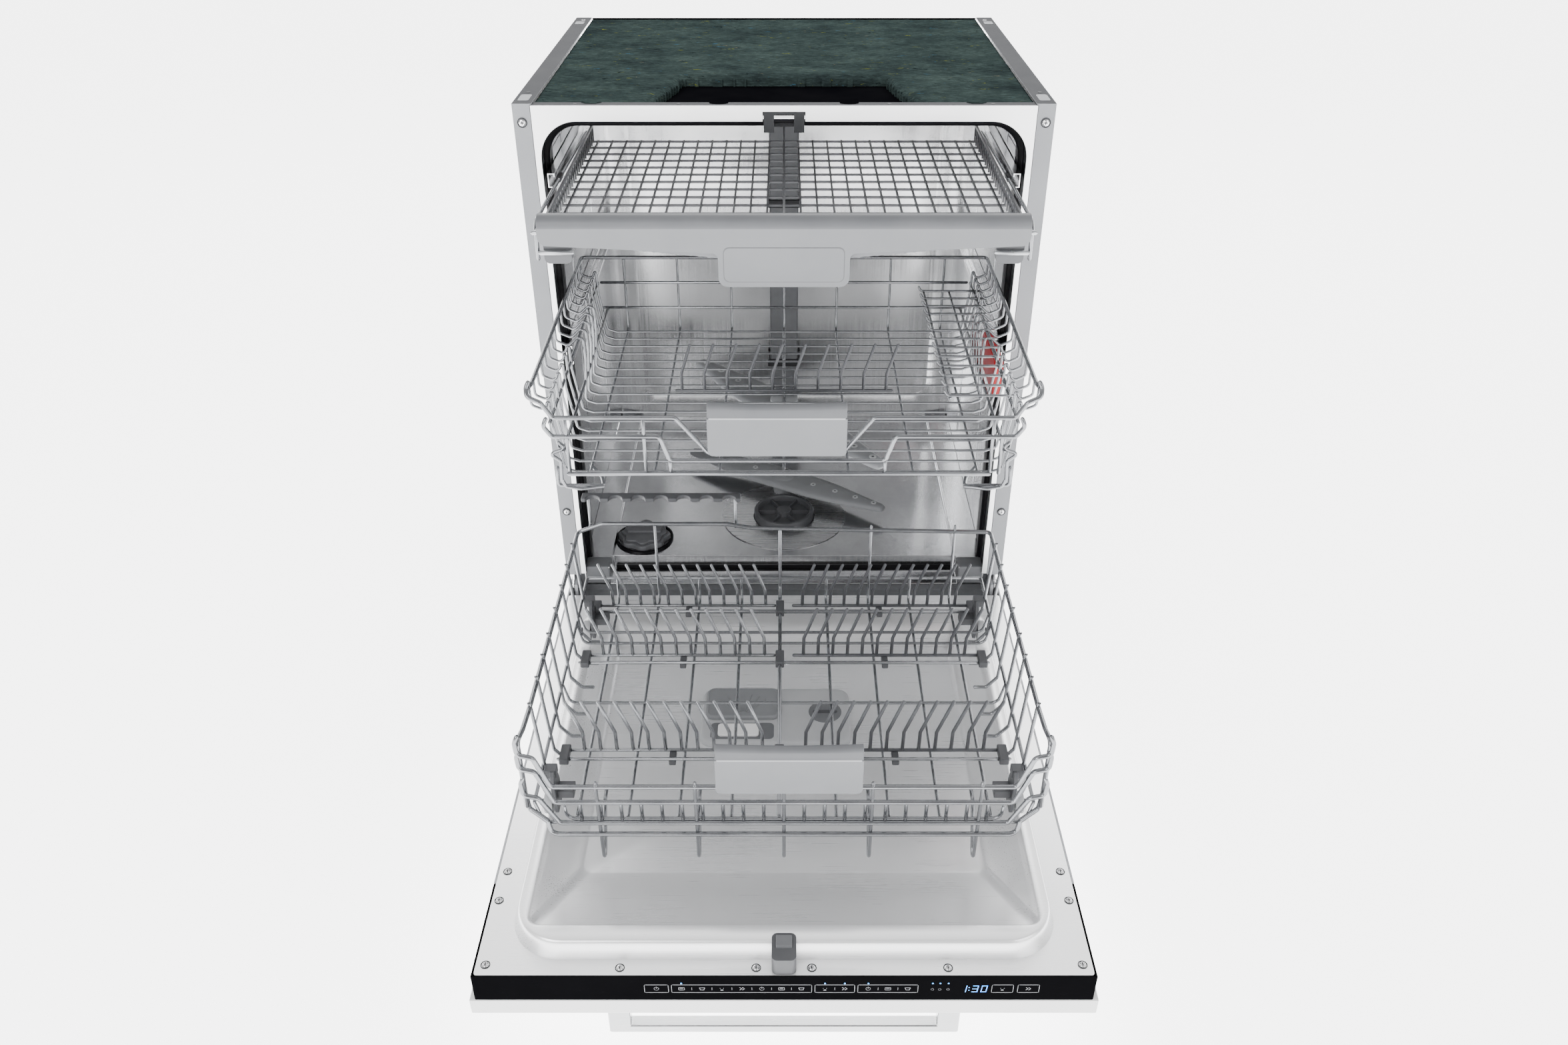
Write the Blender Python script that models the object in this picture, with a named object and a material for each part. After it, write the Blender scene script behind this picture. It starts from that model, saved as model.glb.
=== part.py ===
"""Built-in dishwasher, door open and racks pulled out. Metres, +Z up, the front faces -Y.

Every size is measured from the cabinet's front plane (y = 0) and the floor (z = 0). The empty
"frame_origin" then moves the whole machine along Y, so that the origin is under its middle.
"""

import math

import bmesh
import bpy
import numpy as np
from mathutils import Matrix, Vector

# Driving dimensions
CABINET_HALF = 0.299  # half the cabinet's width
CABINET_TOP = 0.815
CABINET_BACK = 0.5075
DOOR_END = -0.641  # the open door's far edge
DOOR_TAIL = 0.045  # what lies behind the hinge line
FRAME_SHIFT = -(DOOR_END + CABINET_BACK) / 2
SHEET = 0.002  # thickness of the folded sheet parts
GAP = 0.0003  # air between touching parts

# Cabinet and tub
FLANGE = 0.020  # width of the painted front strips
RAIL = 0.022  # width of the top side rails
OPENING_HALF = 0.272
OPENING_TOP = 0.795
OPENING_RADIUS = 0.042
TUB_HALF = 0.275
TUB_TOP = 0.797
TUB_BACK = 0.470
TUB_FLOOR = 0.190
APRON_TOP = 0.171
APRON_BACK = 0.045
TRACK_TOP = 0.198  # the ledges that the lower rack's wheels run on
TRACK_IN = 0.240
BASE_FRONT = 0.055
BASE_LOW = 0.022
GASKET_IN = 0.2668
GASKET_Y = (0.030, 0.044)

# Door, lying open
HINGE_Z = 0.168
SKIN = 0.166  # upper face of the inner panel's flat margin
BORDER = 0.186  # top of the raised border
PAN = 0.150  # floor of the pressed pan
HINGE_BORDER = 0.172  # top of the border along the hinge side
SLOPE_Y = (-0.140, -0.180)  # the side borders come down between these
DECOR_HALF = 0.304
DECOR_TOP = 0.131
DECOR_LOW = 0.111
PANEL_HALF = 0.2955
PANEL_HINGE_END = -0.018
CONTROL_DEEP = 0.012
CONTROL_SIDE_END = -0.527

# Racks: front plane, depth and half width as they stand, pulled out
WIRE = 0.004
LOWER_FRONT, LOWER_DEEP, LOWER_HALF = -0.510, 0.405, 0.2555
LOWER_FLOOR, LOWER_RIM, LOWER_FRONT_RIM = 0.225, 0.335, 0.283
MIDDLE_FRONT, MIDDLE_DEEP, MIDDLE_HALF = -0.280, 0.400, 0.2555
MIDDLE_FLOOR, MIDDLE_RIM, MIDDLE_FRONT_RIM = 0.500, 0.600, 0.572
THIRD_FRONT, THIRD_DEEP, THIRD_HALF = -0.172, 0.398, 0.2500
THIRD_FLOOR, THIRD_RIM = 0.712, 0.752
RUNNER_START = -0.010  # front end of the moving rails with the racks out
WHEEL_R = 0.012
WHEEL_AXLE_Z = TRACK_TOP + GAP + WHEEL_R
WHEEL_Y = (-0.455, -0.155)
FOOT_X, FOOT_Y = 0.262, (0.095, 0.470)
ARM_CENTRE = (0.0, 0.225)
FILTER_CENTRE = (0.0, 0.150)
SALT_CENTRE = (-0.200, 0.090)
MIDDLE_ARM_CENTRE = (0.0, -0.080)
LEVER_PIVOT = (0.245, -0.062, 0.514)
LOWER_HANDLE, MIDDLE_HANDLE = (-0.067, 0.077), (-0.078, 0.064)  # ends of the grips, off centre

COLOURS = {
    "painted_grey": ((0.52, 0.53, 0.55), 0.45, 0.6),
    "stainless": ((0.66, 0.67, 0.68), 0.25, 1.0),
    "rubber": ((0.015, 0.015, 0.016), 0.35, 0.0),
    "felt": ((0.045, 0.085, 0.080), 0.95, 0.0),
    "grey_plastic": ((0.47, 0.48, 0.50), 0.45, 0.0),
    "dark_plastic": ((0.07, 0.07, 0.075), 0.45, 0.0),
    "black_gloss": ((0.008, 0.008, 0.009), 0.12, 0.0),
    "white_panel": ((0.80, 0.80, 0.80), 0.4, 0.0),
    "coated_wire": ((0.45, 0.46, 0.48), 0.35, 0.3),
    "red_plastic": ((0.60, 0.02, 0.02), 0.35, 0.0),
}


def clear_scene():
    for thing in list(bpy.data.objects):
        bpy.data.objects.remove(thing)


def material(slot):
    if slot in bpy.data.materials:
        return bpy.data.materials[slot]
    colour, roughness, metallic = COLOURS[slot]
    made = bpy.data.materials.new(slot)
    made.use_nodes = True
    shader = made.node_tree.nodes["Principled BSDF"]
    shader.inputs["Base Color"].default_value = (*colour, 1)
    shader.inputs["Roughness"].default_value = roughness
    shader.inputs["Metallic"].default_value = metallic
    return made


def add(name, mesh, slot, at=(0, 0, 0), parent=None):
    """A new object of this mesh, whose mesh coordinates are the machine's, moved to sit on its own origin."""
    mesh.transform(Matrix.Translation(-Vector(at)))
    thing = bpy.data.objects.new(name, mesh)
    bpy.context.scene.collection.objects.link(thing)
    thing.data.materials.append(material(slot))
    thing.location = at
    thing.parent = parent or bpy.data.objects["frame_origin"]
    return thing


def mesh_of(bm):
    bmesh.ops.recalc_face_normals(bm, faces=bm.faces)
    mesh = bpy.data.meshes.new("mesh")
    bm.to_mesh(mesh)
    bm.free()
    return mesh


def boxes(parts):
    """One closed mesh round all of these boxes ((x, x), (y, y), (z, z)), which overlap or share faces."""
    sides = [np.array([part[axis] for part in parts]) for axis in range(3)]
    cuts = [np.unique(np.round(side, 6)) for side in sides]
    full = np.zeros([len(cut) + 1 for cut in cuts], bool)
    for part in parts:
        low, high = zip(*[np.searchsorted(cut, np.round(side, 6)) for cut, side in zip(cuts, part)])
        full[low[0] + 1 : high[0] + 1, low[1] + 1 : high[1] + 1, low[2] + 1 : high[2] + 1] = True
    bm = bmesh.new()
    corners = {}

    def corner(index):
        if index not in corners:
            corners[index] = bm.verts.new([cuts[axis][index[axis]] for axis in range(3)])
        return corners[index]

    for cell in np.argwhere(full):
        for axis in range(3):
            for step in (-1, 1):
                beside = cell.copy()
                beside[axis] += step
                if full[tuple(beside)]:
                    continue
                base = cell - 1
                base[axis] += step > 0
                u, v = np.eye(3, dtype=int)[(axis + 1) % 3], np.eye(3, dtype=int)[(axis + 2) % 3]
                ring = [base, base + u, base + u + v, base + v]
                bm.faces.new([corner(tuple(int(i) for i in point)) for point in ring])
    bmesh.ops.dissolve_limit(bm, angle_limit=0.001, verts=bm.verts, edges=bm.edges)
    return mesh_of(bm)


def extruded(outline, axis, low, high):
    """A prism on this outline, given in the two other axes' coordinates in X, Y, Z order."""
    bm = bmesh.new()
    rings = []
    for level in (low, high):
        points = []
        for point in outline:
            place = list(point)
            place.insert(axis, level)
            points.append(bm.verts.new(place))
        rings.append(points)
    bm.faces.new(rings[0])
    bm.faces.new(rings[1])
    for i in range(len(outline)):
        j = (i + 1) % len(outline)
        bm.faces.new((rings[0][i], rings[0][j], rings[1][j], rings[1][i]))
    return mesh_of(bm)


def turned(profile, centre, axis=2, steps=20):
    """The closed profile of (radius, height) points turned round an axis through centre."""
    bm = bmesh.new()
    rings = []
    for radius, height in profile:
        ring = []
        for k in range(steps if radius > 0 else 1):
            a = 2 * math.pi * (k + 0.5) / steps
            place = [radius * math.cos(a), radius * math.sin(a)]
            place.insert(axis, height)
            offset = list(centre)
            offset.insert(axis, 0)
            ring.append(bm.verts.new([p + o for p, o in zip(place, offset)]))
        rings.append(ring)
    for first, second in zip(rings, rings[1:] + rings[:1]):
        for k in range(steps):
            m = (k + 1) % steps
            corners = [first[k % len(first)], first[m % len(first)]]
            corners += [second[m % len(second)], second[k % len(second)]]
            face = list(dict.fromkeys(corners))
            if len(face) > 2:
                bm.faces.new(face)
    return mesh_of(bm)


def rod(low, high, radius, centre, axis=2, steps=20):
    return turned([(0, low), (radius, low), (radius, high), (0, high)], centre, axis, steps)


def loft(loops):
    """A closed skin through loops of equally many points, capped at both ends."""
    bm = bmesh.new()
    rings = [[bm.verts.new(point) for point in loop] for loop in loops]
    for first, second in zip(rings, rings[1:]):
        for i in range(len(first)):
            j = (i + 1) % len(first)
            bm.faces.new((first[i], first[j], second[j], second[i]))
    bm.faces.new(rings[0])
    bm.faces.new(rings[-1])
    return mesh_of(bm)


def rounded(x0, x1, y0, y1, radius, steps=6):
    """A rectangle's outline with round corners."""
    points = []
    corners = ((x1, y1, 0), (x0, y1, 1), (x0, y0, 2), (x1, y0, 3))
    for x, y, quarter in corners:
        cx = x - math.copysign(radius, x - (x0 + x1) / 2)
        cy = y - math.copysign(radius, y - (y0 + y1) / 2)
        for k in range(steps + 1):
            a = math.pi / 2 * (quarter + k / steps)
            points.append((cx + radius * math.cos(a), cy + radius * math.sin(a)))
    return points


def arch(half, top, low, radius, steps=6):
    """Left foot to right foot over a top with round corners, as (x, z) points."""
    points = [(-half, low)]
    for side, start in ((-1, math.pi), (1, math.pi / 2)):
        for k in range(steps + 1):
            a = start - math.pi / 2 * k / steps
            points.append((side * (half - radius) + radius * math.cos(a), top - radius + radius * math.sin(a)))
    return points + [(half, low)]


def cutter(name, mesh):
    thing = add(name, mesh, "rubber")
    thing.hide_render = True
    thing.display_type = "WIRE"
    return thing


def combine(thing, other, operation):
    change = thing.modifiers.new(other.name, "BOOLEAN")
    change.object = other
    change.operation = operation
    change.solver = "EXACT"


def mirrored(parts):
    return [((-part[0][1], -part[0][0]), part[1], part[2]) for part in parts]


def both_sides(name, parts, slot):
    """Left and right copies of a solid that is drawn for +X."""
    for side, boxes_of in (("left", mirrored(parts)), ("right", parts)):
        add(f"{name}_{side}", boxes(boxes_of), slot)


def grid_bars(half, front, deep, low, across, along):
    """Crossing square wires of a basket's floor."""
    back = front + deep
    xs = np.linspace(-half, half - WIRE, across)
    ys = np.linspace(front, back - WIRE, along)
    parts = [((x, x + WIRE), (front, back), (low, low + WIRE)) for x in xs]
    return parts + [((-half, half), (y, y + WIRE), (low, low + WIRE)) for y in ys]


def wall_bars(half, front, deep, low, front_rim, rim, posts):
    """Rails and posts of a basket's four walls; the front wall is lower."""
    back = front + deep
    sides = [(-half, -half + WIRE), (half - WIRE, half)]
    ends = [(front, front + WIRE), (back - WIRE, back)]
    parts = []
    for z in (low, front_rim - WIRE):
        parts += [((-half, half), end, (z, z + WIRE)) for end in ends]
        parts += [(side, (front, back), (z, z + WIRE)) for side in sides]
    parts += [(side, (front, back), (rim - WIRE, rim)) for side in sides]
    parts.append(((-half, half), ends[1], (rim - WIRE, rim)))
    for x in np.linspace(-half, half - WIRE, posts):
        outer = abs(x + WIRE / 2) > half - WIRE
        parts.append(((x, x + WIRE), ends[0], (low, rim if outer else front_rim)))
        parts.append(((x, x + WIRE), ends[1], (low, rim)))
    for y in np.linspace(front, back - WIRE, posts)[1:-1]:
        parts += [(side, (y, y + WIRE), (low, rim)) for side in sides]
    return parts


def tine_row(y, z, height, xs):
    """A hinge wire along X with tines standing on it."""
    parts = [((xs[0] - 0.008, xs[-1] + 0.008), (y - WIRE / 2, y + WIRE / 2), (z - WIRE / 2, z + WIRE / 2))]
    return parts + [
        ((x - WIRE / 2, x + WIRE / 2), (y - WIRE / 2, y + WIRE / 2), (z - WIRE / 2, z + height)) for x in xs
    ]


def make_cabinet():
    low_strip = 0.188
    side = [
        ((CABINET_HALF - SHEET, CABINET_HALF), (BASE_FRONT, CABINET_BACK), (BASE_LOW, CABINET_TOP)),
        ((CABINET_HALF - SHEET, CABINET_HALF), (0, BASE_FRONT), (low_strip, CABINET_TOP)),
        ((CABINET_HALF - FLANGE, CABINET_HALF), (0, SHEET), (low_strip, CABINET_TOP)),
        ((CABINET_HALF - RAIL, CABINET_HALF), (0, CABINET_BACK), (CABINET_TOP - SHEET, CABINET_TOP)),
    ]
    for name, parts in (("left_side_panel", mirrored(side)), ("right_side_panel", side)):
        add(name, boxes(parts), "painted_grey")

    fascia_half = CABINET_HALF - FLANGE - GAP
    notch_half, notch_top = 0.0235, 0.8055
    fascia_top = CABINET_TOP - SHEET - GAP
    outer = [(-fascia_half, TUB_FLOOR), (-fascia_half, fascia_top), (fascia_half, fascia_top)]
    outer.append((fascia_half, TUB_FLOOR))
    inner = arch(OPENING_HALF, OPENING_TOP, TUB_FLOOR, OPENING_RADIUS)
    middle = len(inner) // 2
    notch = [(-notch_half, OPENING_TOP), (-notch_half, notch_top), (notch_half, notch_top)]
    notch.append((notch_half, OPENING_TOP))
    inner = inner[:middle] + notch + inner[middle:]
    add("front_fascia", extruded(outer + inner[::-1], 1, 0, 0.0015), "stainless")

    outer = arch(TUB_HALF + SHEET, TUB_TOP + SHEET, TRACK_TOP + GAP, OPENING_RADIUS + SHEET)
    inner = arch(TUB_HALF, TUB_TOP, TRACK_TOP + GAP, OPENING_RADIUS)
    add("tub_wrapper", extruded(outer + inner[::-1], 1, 0.003, TUB_BACK), "stainless")
    wall = ((-TUB_HALF - SHEET, TUB_HALF + SHEET), (TUB_BACK + GAP, TUB_BACK + GAP + SHEET), (0.17, 0.799))
    add("tub_rear_wall", boxes([wall]), "stainless")

    outer = arch(TUB_HALF - GAP, TUB_TOP - GAP, 0.200, OPENING_RADIUS - GAP)
    inner = arch(GASKET_IN, TUB_TOP - 0.0095, 0.200, OPENING_RADIUS - 0.008)
    add("door_gasket", extruded(outer + inner[::-1], 1, *GASKET_Y), "rubber")
    seal = ((-0.236, 0.236), (0.0395, APRON_BACK - GAP), (APRON_TOP + GAP, 0.177))
    add("lower_seal", boxes([seal]), "rubber")

    cheeks = [((-0.0225, -0.011), (0, 0.0026), (0.786, 0.805)), ((0.011, 0.0225), (0, 0.0026), (0.786, 0.805))]
    cheeks += [((-0.0225, -0.011), (0, 0.028), (0.783, 0.7945)), ((0.011, 0.0225), (0, 0.028), (0.783, 0.7945))]
    cheeks += [((-0.0225, 0.0225), (0.0255, 0.028), (0.783, 0.7945))]
    cheeks += [((-0.0225, 0.0225), (0, 0.0026), (0.8025, 0.805))]
    add("latch_strike", boxes(cheeks), "dark_plastic")

    tall = (0.7995, CABINET_TOP - SHEET - 0.0005)
    felt = [((x, x + 0.1532), (0.012, 0.505), tall) for x in (-0.2762, 0.123)]
    felt.append(((-0.2762, 0.2762), (0.138, 0.505), tall))
    add("top_felt", boxes(felt), "felt")


def make_base():
    floor = [((-TUB_HALF, TUB_HALF), (APRON_BACK, TUB_BACK), (TUB_FLOOR - 0.004, TUB_FLOOR))]
    floor.append(((-TUB_HALF, TUB_HALF), (0.004, APRON_BACK + SHEET), (APRON_TOP - SHEET, APRON_TOP)))
    floor.append(((-TUB_HALF, TUB_HALF), (APRON_BACK, APRON_BACK + SHEET), (APRON_TOP - SHEET, TUB_FLOOR)))
    for low, high in ((-TUB_HALF, -TRACK_IN), (TRACK_IN, TUB_HALF)):
        floor.append(((low, high), (0.004, 0.455), (APRON_TOP - SHEET, TRACK_TOP)))
    thing = add("tub_floor", boxes(floor), "stainless")
    for name, centre, radius in (("sump_hole", FILTER_CENTRE, 0.047), ("salt_hole", SALT_CENTRE, 0.030)):
        combine(thing, cutter(name, rod(0.15, 0.21, radius, centre, steps=24)), "DIFFERENCE")

    low, high = BASE_LOW, 0.165
    x = CABINET_HALF - SHEET - GAP
    back = CABINET_BACK - 0.003
    base = [((-x, x), (BASE_FRONT, back), (low, low + 0.004))]
    base.append(((-x, x), (BASE_FRONT, BASE_FRONT + 0.003), (low, high)))
    base.append(((-0.235, x), (back - 0.003, back), (low, high)))
    base += [((start, start + 0.003), (BASE_FRONT, back), (low, high)) for start in (-x, x - 0.003)]
    add("base_frame", boxes(base), "dark_plastic")
    for place, x, y in (
        ("front_left", -FOOT_X, FOOT_Y[0]),
        ("front_right", FOOT_X, FOOT_Y[0]),
        ("rear_left", -FOOT_X, FOOT_Y[1]),
        ("rear_right", FOOT_X, FOOT_Y[1]),
    ):
        top = BASE_LOW - GAP
        profile = [(0, 0), (0.020, 0), (0.020, 0.005), (0.008, 0.010), (0.008, top), (0, top)]
        add(f"levelling_foot_{place}", turned(profile, (x, y), steps=16), "dark_plastic", (x, y, 0))

    top = TUB_FLOOR - 0.004 - GAP
    cup = [(0.046, 0.100), (0.058, 0.112), (0.062, top), (0.055, top), (0.052, 0.116), (0.0, 0.106), (0, 0.100)]
    add("sump", turned(cup, FILTER_CENTRE), "dark_plastic")
    profile = [(0.0, 0.110), (0.042, 0.122), (0.044, 0.191), (0.044, 0.203), (0.038, 0.203), (0.038, 0.194)]
    profile += [(0.0, 0.194)]
    centre = FILTER_CENTRE
    add("filter_cup", turned(profile, centre), "grey_plastic", (*centre, 0.15))

    add("circulation_pump", rod(-0.09, 0.09, 0.045, (0.30, 0.085), 0), "dark_plastic")
    add("drain_pump", rod(0.13, 0.21, 0.030, (0.17, 0.070), 0), "dark_plastic")
    tank = ((-0.236, -0.140), (0.062, 0.230), (0.050, top))
    add("softener_tank", boxes([tank]), "grey_plastic")
    valve = [((-0.285, -0.245), (0.430, 0.500), (0.050, 0.095))]
    valve.append(((-0.275, -0.255), (0.430, 0.5070), (0.060, 0.080)))
    add("inlet_valve", boxes(valve), "grey_plastic")

    x, y = SALT_CENTRE
    outline = []
    for a in np.linspace(0, 2 * math.pi, 48, endpoint=False):
        radius = 0.0345 + 0.0025 * math.cos(8 * a)
        outline.append((x + radius * math.cos(a), y + radius * math.sin(a)))
    add("salt_cap", extruded(outline, 2, TUB_FLOOR + GAP, 0.206), "dark_plastic", (x, y, TUB_FLOOR))

    duct = [((-0.022, 0.022), (0.436, TUB_BACK - GAP), (TUB_FLOOR + GAP, 0.787))]
    duct.append(((-0.015, 0.015), (0.220, 0.450), (0.776, 0.787)))
    add("water_duct", boxes(duct), "grey_plastic")


def make_hinges():
    thick = (0.2890, 0.2925)
    plate = [(thick, (0.003, 0.120), (0.172, 0.260)), (thick, (-0.008, 0.008), (0.158, 0.178))]
    sides = (("left", mirrored(plate), (-0.2900, -0.2835)), ("right", plate, (0.2835, 0.2900)))
    for side, parts, ends in sides:
        thing = add(f"hinge_bracket_{side}", boxes(parts), "painted_grey")
        combine(thing, cutter(f"pin_{side}", rod(*ends, 0.004, (0, HINGE_Z), 0, 16)), "UNION")
    for side, x in (("left", -0.284), ("right", 0.284)):
        add(f"door_spring_{side}", rod(0.110, 0.400, 0.007, (x, 0.060), 1, 12), "painted_grey")


def spray_arm(name, centre, low, thick, reach, angle, hub, slot, steps=24):
    """A flat two-bladed arm on a round hub."""
    outline = []
    for k in range(2 * steps):
        a = math.pi * k / steps
        c, s = math.cos(a), math.sin(a)
        along = reach * math.copysign(abs(c) ** 0.6, c)
        across = math.copysign((0.013 + 0.014 * abs(s) ** 6) * abs(s) ** 0.4, s)
        x = along * math.cos(angle) - across * math.sin(angle)
        y = along * math.sin(angle) + across * math.cos(angle)
        outline.append((centre[0] + x, centre[1] + y))
    thing = add(name, extruded(outline, 2, low, low + thick), slot, (*centre, low))
    combine(thing, cutter(f"{name}_hub", rod(*hub, 0.016, centre)), "UNION")


def make_door():
    border = (-0.268, 0.268, -0.621, -0.036)
    lip = (-0.248, 0.248, -0.594, -0.060)
    floor = (-0.214, 0.214, -0.499, -0.110)
    margin = (-PANEL_HALF, PANEL_HALF, DOOR_END + SHEET + GAP, PANEL_HINGE_END)
    t = 0.0015

    def ring(box, radius, z, grow=0.0):
        """A level outline, but low where the border runs down to the hinge side."""
        x0, x1, y0, y1 = box
        x0, x1, y0, y1 = x0 - grow, x1 + grow, y0 - grow, y1 + grow
        shape = rounded(x0, x1, y0, y1, radius)
        corner = len(shape) // 4
        left, right = [(x0, y) for y in SLOPE_Y], [(x1, y) for y in SLOPE_Y[::-1]]
        shape = shape[: 2 * corner] + left + shape[2 * corner :] + right
        return [(x, y, min(z, HINGE_BORDER) if y > SLOPE_Y[0] - 0.001 else z) for x, y in shape]

    loops = [
        ring(floor, 0.012, PAN),
        ring(lip, 0.012, BORDER, 0.002),
        ring(border, 0.048, BORDER, -0.006),
        ring(border, 0.052, SKIN, -0.002),
        ring(margin, 0.003, SKIN),
        ring(margin, 0.003, SKIN),
        ring(border, 0.052, SKIN),
        ring(border, 0.048, BORDER, -0.004),
        ring(lip, 0.012, BORDER),
        ring(floor, 0.012, PAN),
    ]
    under = [[(x, y, z - t) for x, y, z in loop] for loop in loops[:5]]
    add("door_inner_panel", loft(under + loops[5:]), "stainless")

    wall_top = SKIN - t - GAP
    x = CABINET_HALF - 0.001
    body = [((-x, x), (CONTROL_SIDE_END + GAP, DOOR_TAIL), (DECOR_TOP + GAP, DECOR_TOP + GAP + t))]
    for low, high in ((-x, -PANEL_HALF - GAP), (PANEL_HALF + GAP, x)):
        body.append(((low, high), (CONTROL_SIDE_END + GAP, DOOR_TAIL), (DECOR_TOP + GAP, SKIN)))
    body.append(((-x, x), (DOOR_TAIL - SHEET, DOOR_TAIL), (DECOR_TOP + GAP, wall_top)))
    for low, high in ((-0.2880, -0.2840), (0.2840, 0.2880)):
        body.append(((low, high), (-0.010, 0.010), (DECOR_TOP + GAP, 0.178)))
    thing = add("door_outer_panel", boxes(body), "painted_grey")
    combine(thing, cutter("hinge_bore", rod(-0.29, 0.29, 0.0044, (0, HINGE_Z), 0, 16)), "DIFFERENCE")

    slab = ((-DECOR_HALF, DECOR_HALF), (DOOR_END, DOOR_TAIL), (DECOR_LOW, DECOR_TOP))
    add("decor_panel", boxes([slab]), "white_panel")

    control = [((-x, x), (DOOR_END, DOOR_END + SHEET), (DECOR_TOP + GAP, SKIN))]
    control.append(((-x, x), (DOOR_END, DOOR_END + CONTROL_DEEP), (DECOR_TOP + GAP, wall_top)))
    for low, high in ((-x, -PANEL_HALF - GAP), (PANEL_HALF + GAP, x)):
        control.append(((low, high), (DOOR_END, CONTROL_SIDE_END), (DECOR_TOP + GAP, SKIN)))
    add("control_panel", boxes(control), "black_gloss")

    handle_half, post, y = 0.1735, 0.022, (-0.634, -0.621)
    handle = [((-handle_half, handle_half), y, (0.0705, 0.0815))]
    for low in (-handle_half, handle_half - post):
        handle.append(((low, low + post), y, (0.0705, DECOR_LOW - GAP)))
    add("door_handle", boxes(handle), "stainless")
    add("latch_hook", boxes([((-0.0095, 0.0095), (-0.6280, -0.6215), (SKIN + GAP, 0.190))]), "grey_plastic")

    body = [((-0.100, 0.080), (-0.305, -0.205), (PAN + GAP, 0.1570))]
    body.append(((0.030, 0.070), (-0.270, -0.230), (0.157, 0.1575)))
    add("dispenser_body", boxes(body), "grey_plastic")
    add("dispenser_lid", boxes([((-0.095, -0.005), (-0.265, -0.210), (0.1578, 0.1625))]), "grey_plastic")


def make_lower_rack():
    half = LOWER_HALF - 0.006
    floor = grid_bars(half, LOWER_FRONT + 0.006, LOWER_DEEP - 0.012, LOWER_FLOOR, 7, 6)
    for y in WHEEL_Y:
        bracket = [((0.2360, 0.2400), (y - 0.006, y + 0.006), (WHEEL_AXLE_Z - 0.003, LOWER_FLOOR + WIRE))]
        axle = ((y - 0.0016, y + 0.0016), (WHEEL_AXLE_Z - 0.0016, WHEEL_AXLE_Z + 0.0016))
        bracket.append(((0.2360, 0.2530), *axle))
        bracket.append(((0.2300, 0.2400), (y - 0.006, y + 0.006), (LOWER_FLOOR, LOWER_FLOOR + WIRE)))
        floor += bracket + mirrored(bracket)
        floor.append(((-half, half), (y - 0.002, y + 0.002), (LOWER_FLOOR, LOWER_FLOOR + WIRE)))
    add("lower_basket_floor", boxes(floor), "coated_wire")
    wall = wall_bars(LOWER_HALF, LOWER_FRONT, LOWER_DEEP, LOWER_FLOOR, LOWER_FRONT_RIM, LOWER_RIM, 6)
    for x in (-0.192, -0.088, 0.0, 0.088, 0.192):
        wall.append(((x - 0.002, x + 0.002), (LOWER_FRONT, LOWER_FRONT + WIRE), (0.178, LOWER_FRONT_RIM)))
    add("lower_basket_wall", boxes(wall), "coated_wire")
    low, high = LOWER_HANDLE
    outline = [(low, 0.283), (high, 0.283), (high - 0.002, 0.343), (low + 0.002, 0.343)]
    handle = extruded(outline, 1, LOWER_FRONT - 0.008, LOWER_FRONT - GAP)
    add("lower_handle", handle, "grey_plastic")
    for place, y in zip(("front", "rear"), WHEEL_Y):
        for side, ends in (("left", (-0.2515, -0.2430)), ("right", (0.2430, 0.2515))):
            tyre = [(0.0028, ends[0]), (WHEEL_R, ends[0]), (WHEEL_R, ends[1]), (0.0028, ends[1])]
            mesh = turned(tyre, (y, WHEEL_AXLE_Z), 0, 20)
            add(f"rack_wheel_{place}_{side}", mesh, "dark_plastic", (0, y, WHEEL_AXLE_Z))
    for name, y in (("front", -0.400), ("rear", -0.235)):
        row = tine_row(y, LOWER_FLOOR + WIRE + 0.003, 0.075, np.linspace(-0.200, 0.200, 12))
        add(f"lower_tines_{name}", boxes(row), "dark_plastic", (0, y, LOWER_FLOOR + WIRE + 0.003))


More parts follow.
